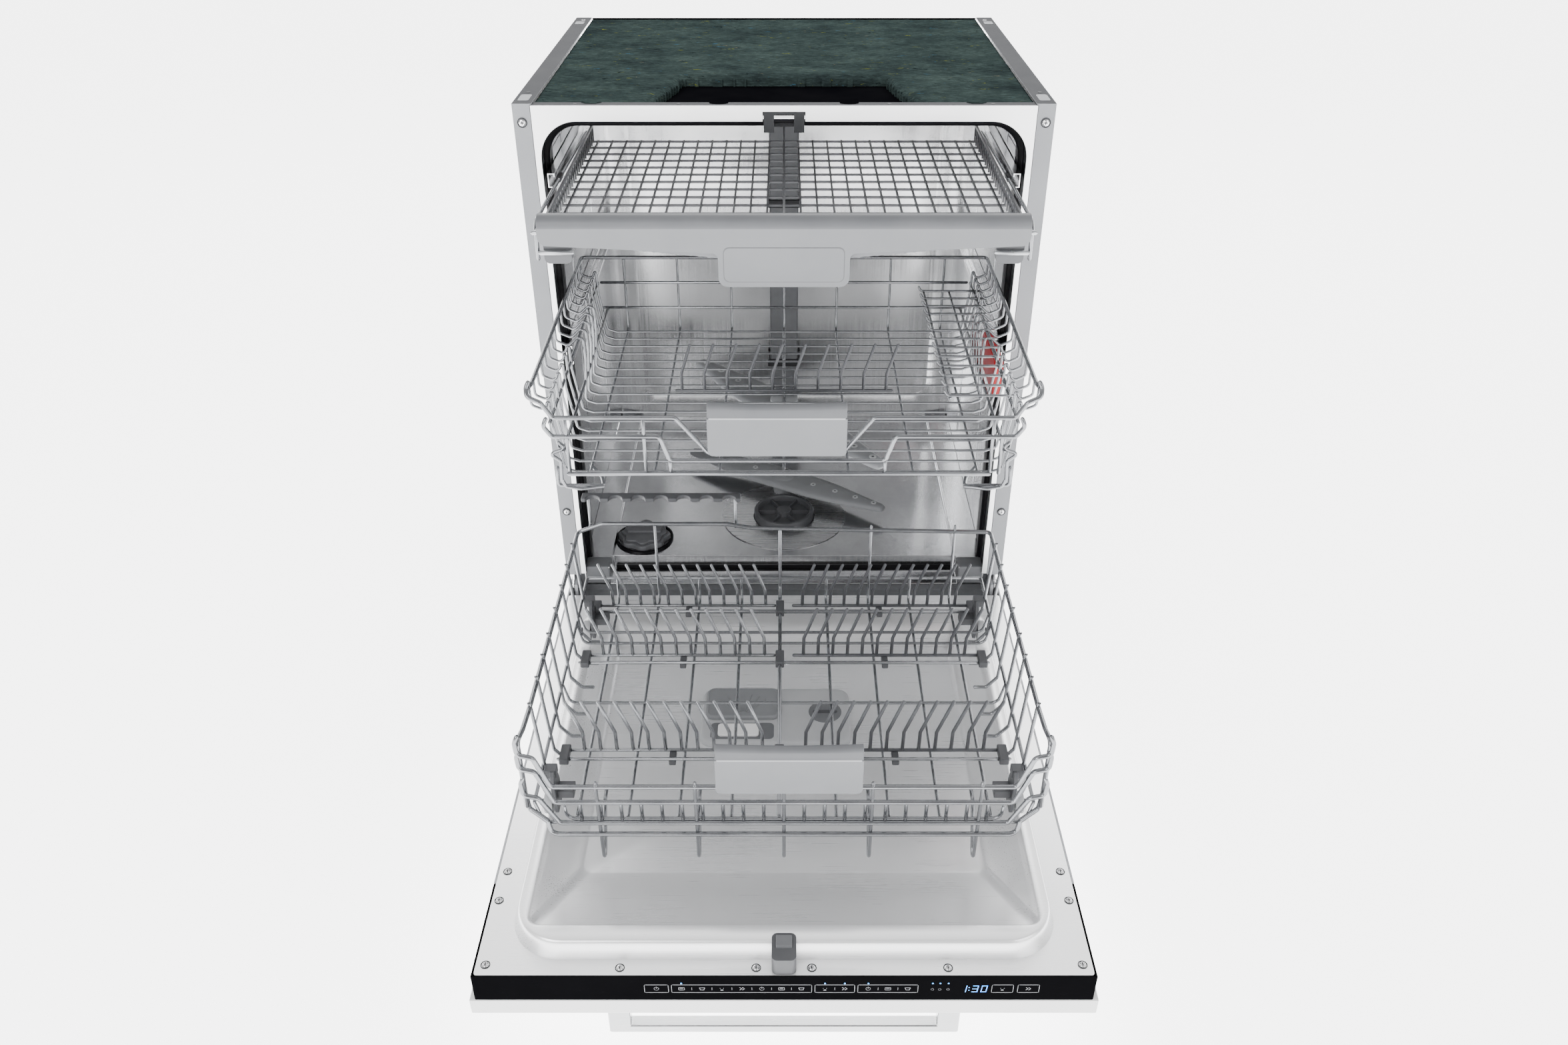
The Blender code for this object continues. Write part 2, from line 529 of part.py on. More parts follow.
def make_middle_rack():
    for side, sign in (("left", -1), ("right", 1)):
        low, high = sorted((sign * 0.2575, sign * 0.2660))
        carrier = ((low, high), (RUNNER_START, 0.120), (0.508, 0.532))
        add(f"middle_carrier_{side}", boxes([carrier]), "stainless")
    rail = [((0.2665, TUB_HALF - GAP), (0.046, 0.462), (0.503, 0.537))]
    both_sides("middle_rail", rail, "stainless")
    floor = grid_bars(MIDDLE_HALF - 0.006, MIDDLE_FRONT + 0.006, MIDDLE_DEEP - 0.012, MIDDLE_FLOOR, 7, 6)
    add("middle_basket_floor", boxes(floor), "coated_wire")
    wall = wall_bars(MIDDLE_HALF, MIDDLE_FRONT, MIDDLE_DEEP, MIDDLE_FLOOR, MIDDLE_FRONT_RIM, MIDDLE_RIM, 6)
    add("middle_basket_wall", boxes(wall), "coated_wire")
    low, high = MIDDLE_HANDLE
    outline = [(low, 0.533), (high, 0.533), (high - 0.002, 0.592), (low + 0.002, 0.592)]
    handle = extruded(outline, 1, MIDDLE_FRONT - 0.008, MIDDLE_FRONT - GAP)
    add("middle_handle", handle, "grey_plastic")
    z = MIDDLE_FLOOR + WIRE + 0.003
    row = tine_row(-0.080, z, 0.060, np.linspace(-0.120, 0.120, 8))
    add("middle_tines", boxes(row), "coated_wire", (0, -0.080, z))
    shelf = [((0.170, 0.248), (y, y + WIRE), (0.566, 0.570)) for y in np.linspace(-0.220, 0.076, 8)]
    shelf += [((x, x + WIRE), (-0.220, 0.080), (0.566, 0.570)) for x in (0.170, 0.207, 0.244)]
    add("cup_shelf", boxes(shelf), "coated_wire", (0.246, 0, 0.568))
    x, y, z = LEVER_PIVOT
    lever = [((x - 0.0055, x + 0.0055), (y - 0.050, y + 0.050), (z, z + 0.042))]
    add("height_lever", boxes(lever), "red_plastic", LEVER_PIVOT)
    spray_arm("middle_spray_arm", MIDDLE_ARM_CENTRE, 0.478, 0.008, 0.175, -0.9, (0.470, 0.4985), "grey_plastic")


def make_third_rack():
    floor = grid_bars(THIRD_HALF, THIRD_FRONT + 0.0125, THIRD_DEEP - 0.0125, THIRD_FLOOR, 9, 7)
    back = THIRD_FRONT + THIRD_DEEP
    front = THIRD_FRONT + 0.0125
    for low in (-THIRD_HALF, -WIRE / 2, THIRD_HALF - WIRE):
        high = low + WIRE
        floor.append(((low, high), (front, back), (THIRD_RIM - WIRE, THIRD_RIM)))
        for y in np.linspace(front, back - WIRE, 5):
            floor.append(((low, high), (y, y + WIRE), (THIRD_FLOOR, THIRD_RIM)))
    floor.append(((-THIRD_HALF, THIRD_HALF), (back - WIRE, back), (THIRD_RIM - WIRE, THIRD_RIM)))
    runner = [((THIRD_HALF - WIRE, 0.2660), (RUNNER_START, back), (0.730, 0.734))]
    runner.append(((0.2570, 0.2660), (RUNNER_START, back), (0.725, 0.741)))
    floor += runner + mirrored(runner)
    add("third_tray", boxes(floor), "coated_wire")
    half, tab = 0.252, 0.068
    outline = [(-half, 0.7445), (-half, 0.714), (-tab - 0.006, 0.706), (-tab, 0.700)]
    outline += [(-tab, 0.670), (tab, 0.670)]
    outline += [(tab, 0.700), (tab + 0.006, 0.706), (half, 0.714), (half, 0.7445)]
    add("third_front_bar", extruded(outline, 1, THIRD_FRONT, THIRD_FRONT + 0.012), "grey_plastic")
    both_sides("third_rail", [((0.2665, TUB_HALF - GAP), (0.046, 0.462), (0.722, 0.744))], "stainless")


def main():
    clear_scene()
    root = bpy.data.objects.new("frame_origin", None)
    bpy.context.scene.collection.objects.link(root)
    root.location = (0, FRAME_SHIFT, 0)
    make_cabinet()
    make_base()
    make_hinges()
    make_door()
    make_lower_rack()
    make_middle_rack()
    make_third_rack()
    hub = (TUB_FLOOR + GAP, 0.2175)
    spray_arm("lower_spray_arm", ARM_CENTRE, 0.2065, 0.009, 0.170, 2.6, hub, "grey_plastic")


main()
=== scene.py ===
"""Built-in dishwasher, door open and racks pulled out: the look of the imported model.

Places are written from the cabinet's front plane (y = 0) and the floor (z = 0), in metres, and
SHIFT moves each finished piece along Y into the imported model's frame.
"""

import math

import bmesh
import bpy
from mathutils import Matrix, Vector, noise


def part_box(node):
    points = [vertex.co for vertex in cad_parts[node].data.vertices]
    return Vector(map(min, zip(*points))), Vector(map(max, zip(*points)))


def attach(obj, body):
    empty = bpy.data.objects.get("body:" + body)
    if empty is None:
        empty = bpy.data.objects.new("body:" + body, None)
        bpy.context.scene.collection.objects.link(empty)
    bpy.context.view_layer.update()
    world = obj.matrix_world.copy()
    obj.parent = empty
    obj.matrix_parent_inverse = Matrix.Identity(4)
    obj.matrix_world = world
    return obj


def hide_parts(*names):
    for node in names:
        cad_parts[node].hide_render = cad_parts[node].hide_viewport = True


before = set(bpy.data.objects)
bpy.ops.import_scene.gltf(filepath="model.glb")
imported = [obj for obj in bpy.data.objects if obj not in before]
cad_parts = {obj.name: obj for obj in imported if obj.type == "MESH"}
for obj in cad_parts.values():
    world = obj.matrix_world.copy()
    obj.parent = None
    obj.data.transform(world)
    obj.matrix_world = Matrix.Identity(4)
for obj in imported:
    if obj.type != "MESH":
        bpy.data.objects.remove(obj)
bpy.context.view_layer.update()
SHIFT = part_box("front_fascia")[0].y

# ---------------------------------------------------------------- materials


def node(tree, kind, inputs=None, **settings):
    made = tree.nodes.new(kind)
    for key, value in settings.items():
        setattr(made, key, value)
    for key, value in (inputs or {}).items():
        if isinstance(value, bpy.types.NodeSocket):
            tree.links.new(value, made.inputs[key])
        else:
            made.inputs[key].default_value = value
    return made


def ramp(tree, factor, stops):
    made = node(tree, "ShaderNodeValToRGB", {"Fac": factor})
    elements = made.color_ramp.elements
    while len(elements) < len(stops):
        elements.new(0.5)
    for element, (place, colour) in zip(elements, stops):
        element.position = place
        element.color = (*colour, 1) if len(colour) == 3 else colour
    return made.outputs["Color"]


def grey(value):
    return (value, value, value)


def noise_of(tree, scale, stretch=(1, 1, 1), detail=3.0, roughness=0.55):
    """Noise in metres: scale is cycles per metre, and stretch squeezes each axis."""
    place = node(tree, "ShaderNodeTexCoord").outputs["Object"]
    place = node(tree, "ShaderNodeMapping", {"Vector": place, "Scale": stretch}).outputs["Vector"]
    inputs = {"Vector": place, "Scale": scale, "Detail": detail, "Roughness": roughness}
    return node(tree, "ShaderNodeTexNoise", inputs).outputs["Fac"]


def bump(tree, height, distance, strength):
    inputs = {"Height": height, "Distance": distance, "Strength": strength}
    return node(tree, "ShaderNodeBump", inputs).outputs["Normal"]


def shader(name, colour, roughness, metallic=0.0, specular=0.5):
    made = bpy.data.materials.new(name)
    made.use_nodes = True
    tree = made.node_tree
    bsdf = tree.nodes["Principled BSDF"]
    bsdf.inputs["Base Color"].default_value = (*colour, 1)
    bsdf.inputs["Roughness"].default_value = roughness
    bsdf.inputs["Metallic"].default_value = metallic
    bsdf.inputs["Specular IOR Level"].default_value = specular
    return made, tree, bsdf


def link(tree, bsdf, **sockets):
    for key, value in sockets.items():
        tree.links.new(value, bsdf.inputs[key.replace("_", " ")])


def steel(name, light, dark, rough, brush=(900, 9), axis=0, dent=0.00004, metallic=1.0):
    """Brushed stainless: fine streaks along one axis, and broad soft variation."""
    made, tree, bsdf = shader(name, light, rough[0], metallic)
    stretch = [1.0, 1.0, 1.0]
    stretch[axis] = brush[1] / brush[0]
    streaks = noise_of(tree, brush[0], stretch, 4.0)
    clouds = noise_of(tree, 14, detail=2.0)
    mixed = node(tree, "ShaderNodeMix", {"Factor": 0.35, "A": streaks, "B": clouds}).outputs["Result"]
    link(
        tree,
        bsdf,
        Base_Color=ramp(tree, mixed, [(0.3, dark), (0.7, light)]),
        Roughness=ramp(tree, mixed, [(0.3, grey(rough[0])), (0.75, grey(rough[1]))]),
        Normal=bump(tree, streaks, dent, 0.5),
    )
    return made


def plastic(name, light, dark, rough, grain=2600, dent=0.00006, specular=0.5, metallic=0.0):
    """Moulded plastic: fine grain in the surface, and slight cloudiness."""
    made, tree, bsdf = shader(name, light, rough[0], metallic, specular=specular)
    fine = noise_of(tree, grain, detail=2.0)
    clouds = noise_of(tree, 22, detail=3.0)
    link(
        tree,
        bsdf,
        Base_Color=ramp(tree, clouds, [(0.3, dark), (0.7, light)]),
        Roughness=ramp(tree, clouds, [(0.3, grey(rough[0])), (0.7, grey(rough[1]))]),
        Normal=bump(tree, fine, dent, 0.4),
    )
    return made


def coated(name, light, dark, rough, metallic):
    """Silvery nylon on wire: satin, with faint mottling from the dipping."""
    return plastic(name, light, dark, rough, 1500, 0.00005, 0.5, metallic)


def paint(name, light, dark, rough, metallic=0.35):
    """Metallic powder coat: speckles of two greys under a fine orange peel."""
    made, tree, bsdf = shader(name, light, rough[0], metallic=metallic)
    specks = noise_of(tree, 1500, detail=2.0)
    clouds = noise_of(tree, 9, detail=2.0)
    mixed = node(tree, "ShaderNodeMix", {"Factor": 0.4, "A": specks, "B": clouds}).outputs["Result"]
    link(
        tree,
        bsdf,
        Base_Color=ramp(tree, mixed, [(0.35, dark), (0.65, light)]),
        Roughness=ramp(tree, specks, [(0.3, grey(rough[0])), (0.7, grey(rough[1]))]),
        Normal=bump(tree, specks, 0.00008, 0.35),
    )
    return made


def felt_material():
    """Matted recycled fibre: dark teal with blue, yellow-green and black flecks drawn out along X."""
    made, tree, bsdf = shader("felt", (0.02, 0.05, 0.05), 1.0, specular=0.0)
    clouds = noise_of(tree, 22, (0.6, 1, 1), 5.0, 0.65)
    base = ramp(
        tree,
        clouds,
        [(0.30, (0.024, 0.034, 0.035)), (0.48, (0.038, 0.055, 0.053)), (0.70, (0.058, 0.082, 0.076))],
    )
    fibres = noise_of(tree, 420, (0.22, 1, 1), 6.0, 0.75)
    shade = ramp(tree, fibres, [(0.32, grey(0.35)), (0.55, grey(1.0)), (0.75, grey(2.0))])
    colour = mix_colours(tree, 0.85, base, shade, "MULTIPLY")
    for scale, stretch, low, tint in (
        (130, (0.30, 1, 1), 0.66, (0.13, 0.15, 0.030)),
        (110, (0.35, 1, 1), 0.665, (0.035, 0.10, 0.15)),
        (170, (0.25, 1, 1), 0.68, (0.16, 0.15, 0.10)),
        (95, (0.40, 1, 1), 0.655, (0.004, 0.008, 0.009)),
    ):
        flecks = noise_of(tree, scale, stretch, 4.0, 0.7)
        mask = ramp(tree, flecks, [(low, grey(0.0)), (low + 0.035, grey(1.0))])
        colour = mix_colours(tree, mask, colour, (*tint, 1))
    tree.links.new(colour, bsdf.inputs["Base Color"])
    tree.links.new(bump(tree, fibres, 0.0012, 0.9), bsdf.inputs["Normal"])
    return made


def mix_colours(tree, factor, first, second, blend="MIX"):
    """A colour Mix node: its sockets go by number, since they share their names with other types."""
    inputs = {0: factor, 6: first, 7: second}
    return node(tree, "ShaderNodeMix", inputs, data_type="RGBA", blend_type=blend).outputs[2]


def glow(name, colour, strength):
    made, tree, bsdf = shader(name, colour, 0.4)
    bsdf.inputs["Emission Color"].default_value = (*colour, 1)
    bsdf.inputs["Emission Strength"].default_value = strength
    link(tree, bsdf, Roughness=ramp(tree, noise_of(tree, 500), [(0.3, grey(0.35)), (0.7, grey(0.5))]))
    return made


MATERIALS = {
    "strip": paint("powder_coat_silver", (0.27, 0.277, 0.29), (0.215, 0.222, 0.235), (0.42, 0.56)),
    # A darker grey for the up-facing tops of the side panels and the fascia flange: painted shade, since the
    # tops take less light than the front faces.
    "rail": plastic(
        "rail_top_painted_shade", (0.085, 0.087, 0.093), (0.065, 0.067, 0.072), (0.55, 0.70), 1500, specular=0.05
    ),
    "door_side": paint("powder_coat_grey", (0.42, 0.43, 0.45), (0.34, 0.35, 0.37), (0.40, 0.55)),
    "fascia": steel("polished_fascia", (0.95, 0.953, 0.958), (0.89, 0.893, 0.90), (0.30, 0.40), dent=0.00002),
    "door": steel(
        "satin_door_sheet", (0.96, 0.963, 0.97), (0.94, 0.943, 0.95), (0.26, 0.33), dent=0.00001,
        metallic=0.65
    ),
    "tub": steel("tub_sheet", (0.80, 0.805, 0.815), (0.68, 0.685, 0.695), (0.12, 0.22), (500, 7), axis=2),
    "bar": steel("brushed_bar", (0.74, 0.745, 0.75), (0.58, 0.585, 0.59), (0.22, 0.36), (1200, 8)),
    "outside": steel(
        "tub_outside", (0.34, 0.343, 0.35), (0.26, 0.263, 0.27), (0.42, 0.55), (500, 7), axis=2,
        metallic=0.6
    ),
    "handle": steel("handle_bar", (0.50, 0.505, 0.51), (0.40, 0.405, 0.41), (0.20, 0.32), (1200, 8)),
    "chrome": steel("chrome", (0.90, 0.90, 0.91), (0.78, 0.78, 0.79), (0.08, 0.16)),
    "rubber": plastic(
        "gasket_rubber", (0.006, 0.006, 0.007), (0.004, 0.004, 0.005), (0.30, 0.42), 900, specular=0.10
    ),
    "felt": felt_material(),
    "sheet": plastic(
        "black_sheet", (0.005, 0.005, 0.006), (0.003, 0.003, 0.004), (0.6, 0.75), 600, 0.0002, specular=0.0
    ),
    "grey": plastic("grey_plastic", (0.212, 0.218, 0.228), (0.195, 0.201, 0.211), (0.42, 0.52), specular=0.3),
    # The grey grip plastic made darker for the up-facing rolled lips: painted shade.
    "lip": plastic(
        "grip_lip_painted_shade", (0.135, 0.139, 0.147), (0.118, 0.122, 0.130), (0.34, 0.44), specular=0.3
    ),
    "light_grey": plastic(
        "light_grey_plastic", (0.42, 0.428, 0.44), (0.38, 0.388, 0.40), (0.38, 0.48), specular=0.3
    ),
    "mid_grey": plastic(
        "mid_grey_plastic", (0.15, 0.154, 0.162), (0.12, 0.124, 0.132), (0.40, 0.52), specular=0.3
    ),
    "apron": plastic("apron_plastic", (0.23, 0.236, 0.248), (0.20, 0.206, 0.218), (0.45, 0.55), specular=0.3),
    "salt": plastic(
        "salt_cap_plastic", (0.130, 0.133, 0.140), (0.100, 0.103, 0.110), (0.36, 0.48), specular=0.3
    ),
    "cup": plastic(
        "filter_plastic", (0.070, 0.072, 0.077), (0.050, 0.052, 0.057), (0.36, 0.48), specular=0.3
    ),
    "clip": plastic("clip_plastic", (0.075, 0.077, 0.083), (0.055, 0.057, 0.062), (0.36, 0.48), specular=0.4),
    "dark": plastic("dark_plastic", (0.034, 0.035, 0.038), (0.022, 0.023, 0.025), (0.38, 0.52), specular=0.2),
    # A dark fill for the latch notch: painted shadow in the hollow of the door border.
    "shadow": plastic(
        "notch_painted_shadow", (0.085, 0.087, 0.092), (0.060, 0.062, 0.067), (0.40, 0.52), specular=0.3
    ),
    "gloss": plastic(
        "gloss_panel", (0.0035, 0.0035, 0.004), (0.003, 0.003, 0.0035), (0.5, 0.6), 300, 0.00001,
        specular=0.0
    ),
    "white": plastic(
        "white_lacquer", (0.80, 0.80, 0.80), (0.77, 0.77, 0.77), (0.30, 0.38), 500, 0.00003, specular=0.3
    ),
    "wire": coated("nylon_wire", (0.27, 0.276, 0.288), (0.20, 0.206, 0.218), (0.18, 0.27), 0.9),
    "light_wire": coated("pale_nylon_wire", (0.46, 0.47, 0.485), (0.37, 0.38, 0.395), (0.22, 0.32), 0.8),
    "dark_wire": coated("dark_nylon_wire", (0.085, 0.088, 0.095), (0.060, 0.063, 0.070), (0.30, 0.42), 0.4),
    "red": plastic(
        "red_plastic", (0.40, 0.006, 0.010), (0.33, 0.004, 0.007), (0.30, 0.42), 1500, 0.00004, specular=0.3
    ),
    # The key print glows faintly though it is no lamp: painted light.
    "print": glow("grey_print_glow", (0.30, 0.31, 0.33), 0.08),
    "led": glow("blue_led", (0.06, 0.38, 0.95), 1.7),
}

# ---------------------------------------------------------------- shapes


def mesh_of(bm):
    bmesh.ops.remove_doubles(bm, verts=bm.verts, dist=1e-6)
    bmesh.ops.recalc_face_normals(bm, faces=bm.faces)
    mesh = bpy.data.meshes.new("mesh")
    bm.to_mesh(mesh)
    bm.free()
    return mesh


def joined(meshes):
    bm = bmesh.new()
    for mesh in meshes:
        bm.from_mesh(mesh)
    mesh = bpy.data.meshes.new("mesh")
    bm.to_mesh(mesh)
    bm.free()
    return mesh


def moved(mesh, by, turn=0.0, axis="Z"):
    copy = mesh.copy()
    copy.transform(Matrix.Translation(by) @ Matrix.Rotation(turn, 4, axis))
    return copy


def skin(loops, wrap=False):
    """A surface through loops of equally many points.

    The loops are closed, with a face on the first and the last. With wrap they are open, the last
    one joins the first, and a face closes each end.
    """
    bm = bmesh.new()
    rings = [[bm.verts.new(point) for point in loop] for loop in loops]
    count = len(rings[0])
    for first, second in zip(rings, rings[1:] + (rings[:1] if wrap else [])):
        for i in range(count - 1 if wrap else count):
            j = (i + 1) % count
            bm.faces.new((first[i], first[j], second[j], second[i]))
    for end in (0, -1):
        bm.faces.new([ring[end] for ring in rings] if wrap else rings[end])
    return mesh_of(bm)


def along(axis, level, point):
    place = list(point)
    place.insert(axis, level)
    return tuple(place)


def placed(outline, axis, level):
    """The loop on an outline given in the two other axes' coordinates, in X, Y, Z order."""
    return [along(axis, level, point) for point in outline]


def prism(outline, axis, low, high):
    return skin([placed(outline, axis, level) for level in (low, high)])


def block(x, y, z):
    """A box from the low to the high end of each axis; x may be given either way round."""
    x = sorted(x)
    return prism([(x[0], y[0]), (x[1], y[0]), (x[1], y[1]), (x[0], y[1])], 2, *z)


def turned(profile, centre, axis=2, steps=32):
    """The closed profile of (radius, height) points turned round an axis through centre."""
    bm = bmesh.new()
    rings = []
    for radius, height in profile:
        ring = []
        for k in range(steps if radius > 0 else 1):
            a = 2 * math.pi * (k + 0.5) / steps
            place = along(axis, height, (radius * math.cos(a), radius * math.sin(a)))
            ring.append(bm.verts.new([p + o for p, o in zip(place, along(axis, 0, centre))]))
        rings.append(ring)
    for first, second in zip(rings, rings[1:] + rings[:1]):
        for k in range(steps):
            m = (k + 1) % steps
            corners = [first[k % len(first)], first[m % len(first)]]
            corners += [second[m % len(second)], second[k % len(second)]]
            face = list(dict.fromkeys(corners))
            if len(face) > 2:
                bm.faces.new(face)
    return mesh_of(bm)


def disc(radius, low, high, centre, axis=2, steps=32):
    return turned([(0, low), (radius, low), (radius, high), (0, high)], centre, axis, steps)


def arc(x, y, radius, angles):
    return [(x + radius * math.cos(a), y + radius * math.sin(a)) for a in angles]


def rounded(x0, x1, y0, y1, radius, steps=8):
    points = []
    for x, y, quarter in ((x1, y1, 0), (x0, y1, 1), (x0, y0, 2), (x1, y0, 3)):
        cx = x - math.copysign(radius, x - (x0 + x1) / 2)
        cy = y - math.copysign(radius, y - (y0 + y1) / 2)
        points += arc(cx, cy, radius, [math.pi / 2 * (quarter + k / steps) for k in range(steps + 1)])
    return points


def arch(half, top, low, radius, steps=14):
    points = [(-half, low)]
    for side, start in ((-1, math.pi), (1, math.pi / 2)):
        angles = [start - math.pi / 2 * k / steps for k in range(steps + 1)]
        points += arc(side * (half - radius), top - radius, radius, angles)
    return points + [(half, low)]


def arch_sweep(half, top, low, radius, profile, sink=1.0):
    """A section of (inward, y) points carried round the arch; sink deepens it along the top."""
    loops = []
    for inward, y in profile:
        outline = arch(half - inward, top - sink * inward, low, radius - inward)
        loops.append(placed(outline, 1, y))
    return skin(loops, wrap=True)


def fillet(points, radius, steps=5):
    """The polyline with its corners rounded."""
    points = [Vector(point) for point in points]
    out = [points[0]]
    for before, corner, after in zip(points, points[1:], points[2:]):
        u, v = before - corner, after - corner
        reach = min(u.length, v.length) * 0.48
        u.normalize()
        v.normalize()
        angle = u.angle(v)
        if angle > math.pi - 0.05:
            out.append(corner)
            continue
        cut = min(radius / math.tan(angle / 2), reach)
        true = cut * math.tan(angle / 2)
        centre = corner + (u + v).normalized() * (true / math.sin(angle / 2))
        start, end = corner + u * cut - centre, corner + v * cut - centre
        out += [centre + start.slerp(end, k / steps).normalized() * true for k in range(steps + 1)]
    return out + [points[-1]]


# ---------------------------------------------------------------- pieces


def settle(thing, body, replaces):
    bpy.context.scene.collection.objects.link(thing)
    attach(thing, body)
    if replaces:
        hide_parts(*replaces)
    return thing


def piece(name, meshes, body, look, replaces=(), bevel=0.0, segments=2, sharp=38):
    """One object from one or more meshes, with its edges rounded over."""
    mesh = joined(meshes if isinstance(meshes, list) else [meshes])
    mesh.transform(Matrix.Translation((0, SHIFT, 0)))
    mesh.materials.append(MATERIALS[look])
    mesh.shade_smooth()
    mesh.set_sharp_from_angle(angle=math.radians(sharp))
    thing = bpy.data.objects.new(name, mesh)
    if bevel:
        change = thing.modifiers.new("edges", "BEVEL")
        change.width = bevel
        change.segments = segments
        change.limit_method = "ANGLE"
        change.angle_limit = math.radians(sharp)
        change.harden_normals = True
    return settle(thing, body, replaces)


def softened(node_name, body, look, bevel=0.0006, segments=2):
    """The CAD node's own shape with its edges rounded over."""
    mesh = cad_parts[node_name].data.copy()
    mesh.materials.clear()
    mesh.transform(Matrix.Translation((0, -SHIFT, 0)))
    bm = bmesh.new()
    bm.from_mesh(mesh)
    bmesh.ops.remove_doubles(bm, verts=bm.verts, dist=1e-6)
    bmesh.ops.dissolve_limit(bm, angle_limit=math.radians(1), verts=bm.verts, edges=bm.edges)
    bm.to_mesh(mesh)
    bm.free()
    return piece(node_name + "_shown", mesh, body, look, [node_name], bevel, segments)


def wires(name, runs, radius, body, look="wire", replaces=(), bend=0.008):
    """Round wires with bent corners and rounded ends, as one curve object."""
    curve = bpy.data.curves.new(name, "CURVE")
    curve.dimensions = "3D"
    curve.bevel_depth = radius
    curve.bevel_resolution = 2
    curve.use_fill_caps = True
    for run in runs:
        points = fillet(run, bend)
        for end, inner in ((0, 1), (-1, -2)):
            tip, toward = points[end], (points[inner] - points[end]).normalized()
            shoulder = tip + toward * radius * 0.7
            points.insert(1 if end == 0 else len(points) - 1, shoulder)
        spline = curve.splines.new("POLY")
        spline.points.add(len(points) - 1)
        for target, point in zip(spline.points, points):
            target.co = (point.x, point.y + SHIFT, point.z, 1)
        spline.points[0].radius = spline.points[-1].radius = 0.55
        spline.use_smooth = True
    curve.materials.append(MATERIALS[look])
    return settle(bpy.data.objects.new(name, curve), body, replaces)


def spread(low, high, count):
    return [low + (high - low) * k / (count - 1) for k in range(count)]


def flipped(run):
    """The run's mirror image across x = 0, from its other end."""
    return [(-x, y, z) for x, y, z in run[::-1]]


def mirrored(half):
    """A run from the half's mirror image into the half."""
    return flipped(half) + half


def both(runs):
    """Each run and its mirror image across x = 0."""
    return runs + [flipped(run[::-1]) for run in runs]


def mirror(mesh):
    copy = mesh.copy()
    copy.transform(Matrix.Scale(-1, 4, (1, 0, 0)))
    copy.flip_normals()
    return copy


def screw_meshes(r, depth=0.0016):
    """A cross-head screw of radius r facing +Z at the origin: the bright meshes, then the dark ones, which
    are a painted shadow ring round the head and painted shade in the cross.
    """
    # The ring round the head and the cross are dark: painted shadow in the countersink and painted shade in
    # the recess.
    ring = turned([(r * 1.12, 0), (r * 1.38, 0), (r * 1.36, depth * 0.4), (r * 1.14, depth * 0.4)], (0, 0))
    dome = [(r, depth * 0.45), (r * 0.86, depth * 0.85), (r * 0.60, depth), (r * 0.56, depth * 0.3)]
    head = turned([(0, 0), (r, 0), *dome, (0, depth * 0.3)], (0, 0))
    wedge = [(-0.13 * r, -0.50 * r), (0.13 * r, -0.50 * r), (0.13 * r, 0.50 * r), (-0.13 * r, 0.50 * r)]
    lands = []
    for k in range(4):
        a = math.pi / 2 * k + math.pi / 4
        middle = Vector((math.cos(a), math.sin(a))) * r * 0.42
        land = arc(middle.x, middle.y, 0.15 * r, [a + q for q in spread(0, 5.236, 6)])
        lands.append(prism(land, 2, depth * 0.2, depth * 0.95))
    cross = prism(wedge, 2, depth * 0.28, depth * 0.36)
    return [head] + lands, [ring, cross, moved(cross, (0, 0, 0), math.pi / 2)]


def screws(name, places, facing, body, radius):
    """Screws at these places; facing is the axis that their heads look along."""
    turn = {"up": Matrix.Identity(4), "front": Matrix.Rotation(math.radians(90), 4, "X")}[facing]
    bright, shadow = screw_meshes(radius)
    # The dark meshes are painted shadow round each head and painted shade in its cross.
    for look, parts in (("chrome", bright), ("dark", shadow)):
        made = []
        for place in places:
            for part in parts:
                copy = part.copy()
                copy.transform(Matrix.Translation(place) @ turn)
                made.append(copy)
        piece(f"{name}_{look}", made, body, look, sharp=50)


# ---------------------------------------------------------------- cabinet

SIDE_HALF, TOP = 0.299, 0.815
SIDES = (("left", -1), ("right", 1))
OPEN_HALF, OPEN_TOP, OPEN_RADIUS = 0.272, 0.795, 0.042
FILTER, SALT = (0.0, 0.150), (-0.200, 0.090)


def make_sides():
    for side in ("left", "right"):
        thing = softened(f"{side}_side_panel", "cabinet", "strip", 0.0007)
        # The up-facing top faces get the darker rail material, a painted shade: the top takes less light than
        # the front strip.
        thing.data.materials.append(MATERIALS["rail"])
        for vert in thing.data.vertices:
            if vert.co.z > TOP - 0.0005:
                vert.co.z -= 0.0004
        for face in thing.data.polygons:
            if face.normal.z > 0.9 and face.center.z > TOP - 0.001:
                face.material_index = 1
    holes, tabs = [], []
    for s in (-1, 1):
        # Dark discs where the rail has holes: painted shade inside them.
        holes.append(disc(0.0024, TOP - 0.0002, TOP, (s * 0.289, 0.051), steps=24))
        for y0, y1 in ((0.012, 0.040), (0.455, 0.475)):
            tab = rounded(s * 0.2885 - 0.0062, s * 0.2885 + 0.0062, y0, y1, 0.003)
            tabs.append(prism(tab, 2, TOP - 0.0006, TOP))
    piece("rail_hole_shade", holes, "cabinet", "dark")
    piece("rail_tabs", tabs, "cabinet", "strip", bevel=0.0004)
    places = [(s * 0.289, -0.0002, z) for s in (-1, 1) for z in (0.794, 0.290)]
    screws("strip_screws", places, "front", "cabinet", 0.0040)
    screws("rail_screws", [(s * 0.2865, 0.487, TOP - 0.0018) for s in (-1, 1)], "up", "cabinet", 0.0034)


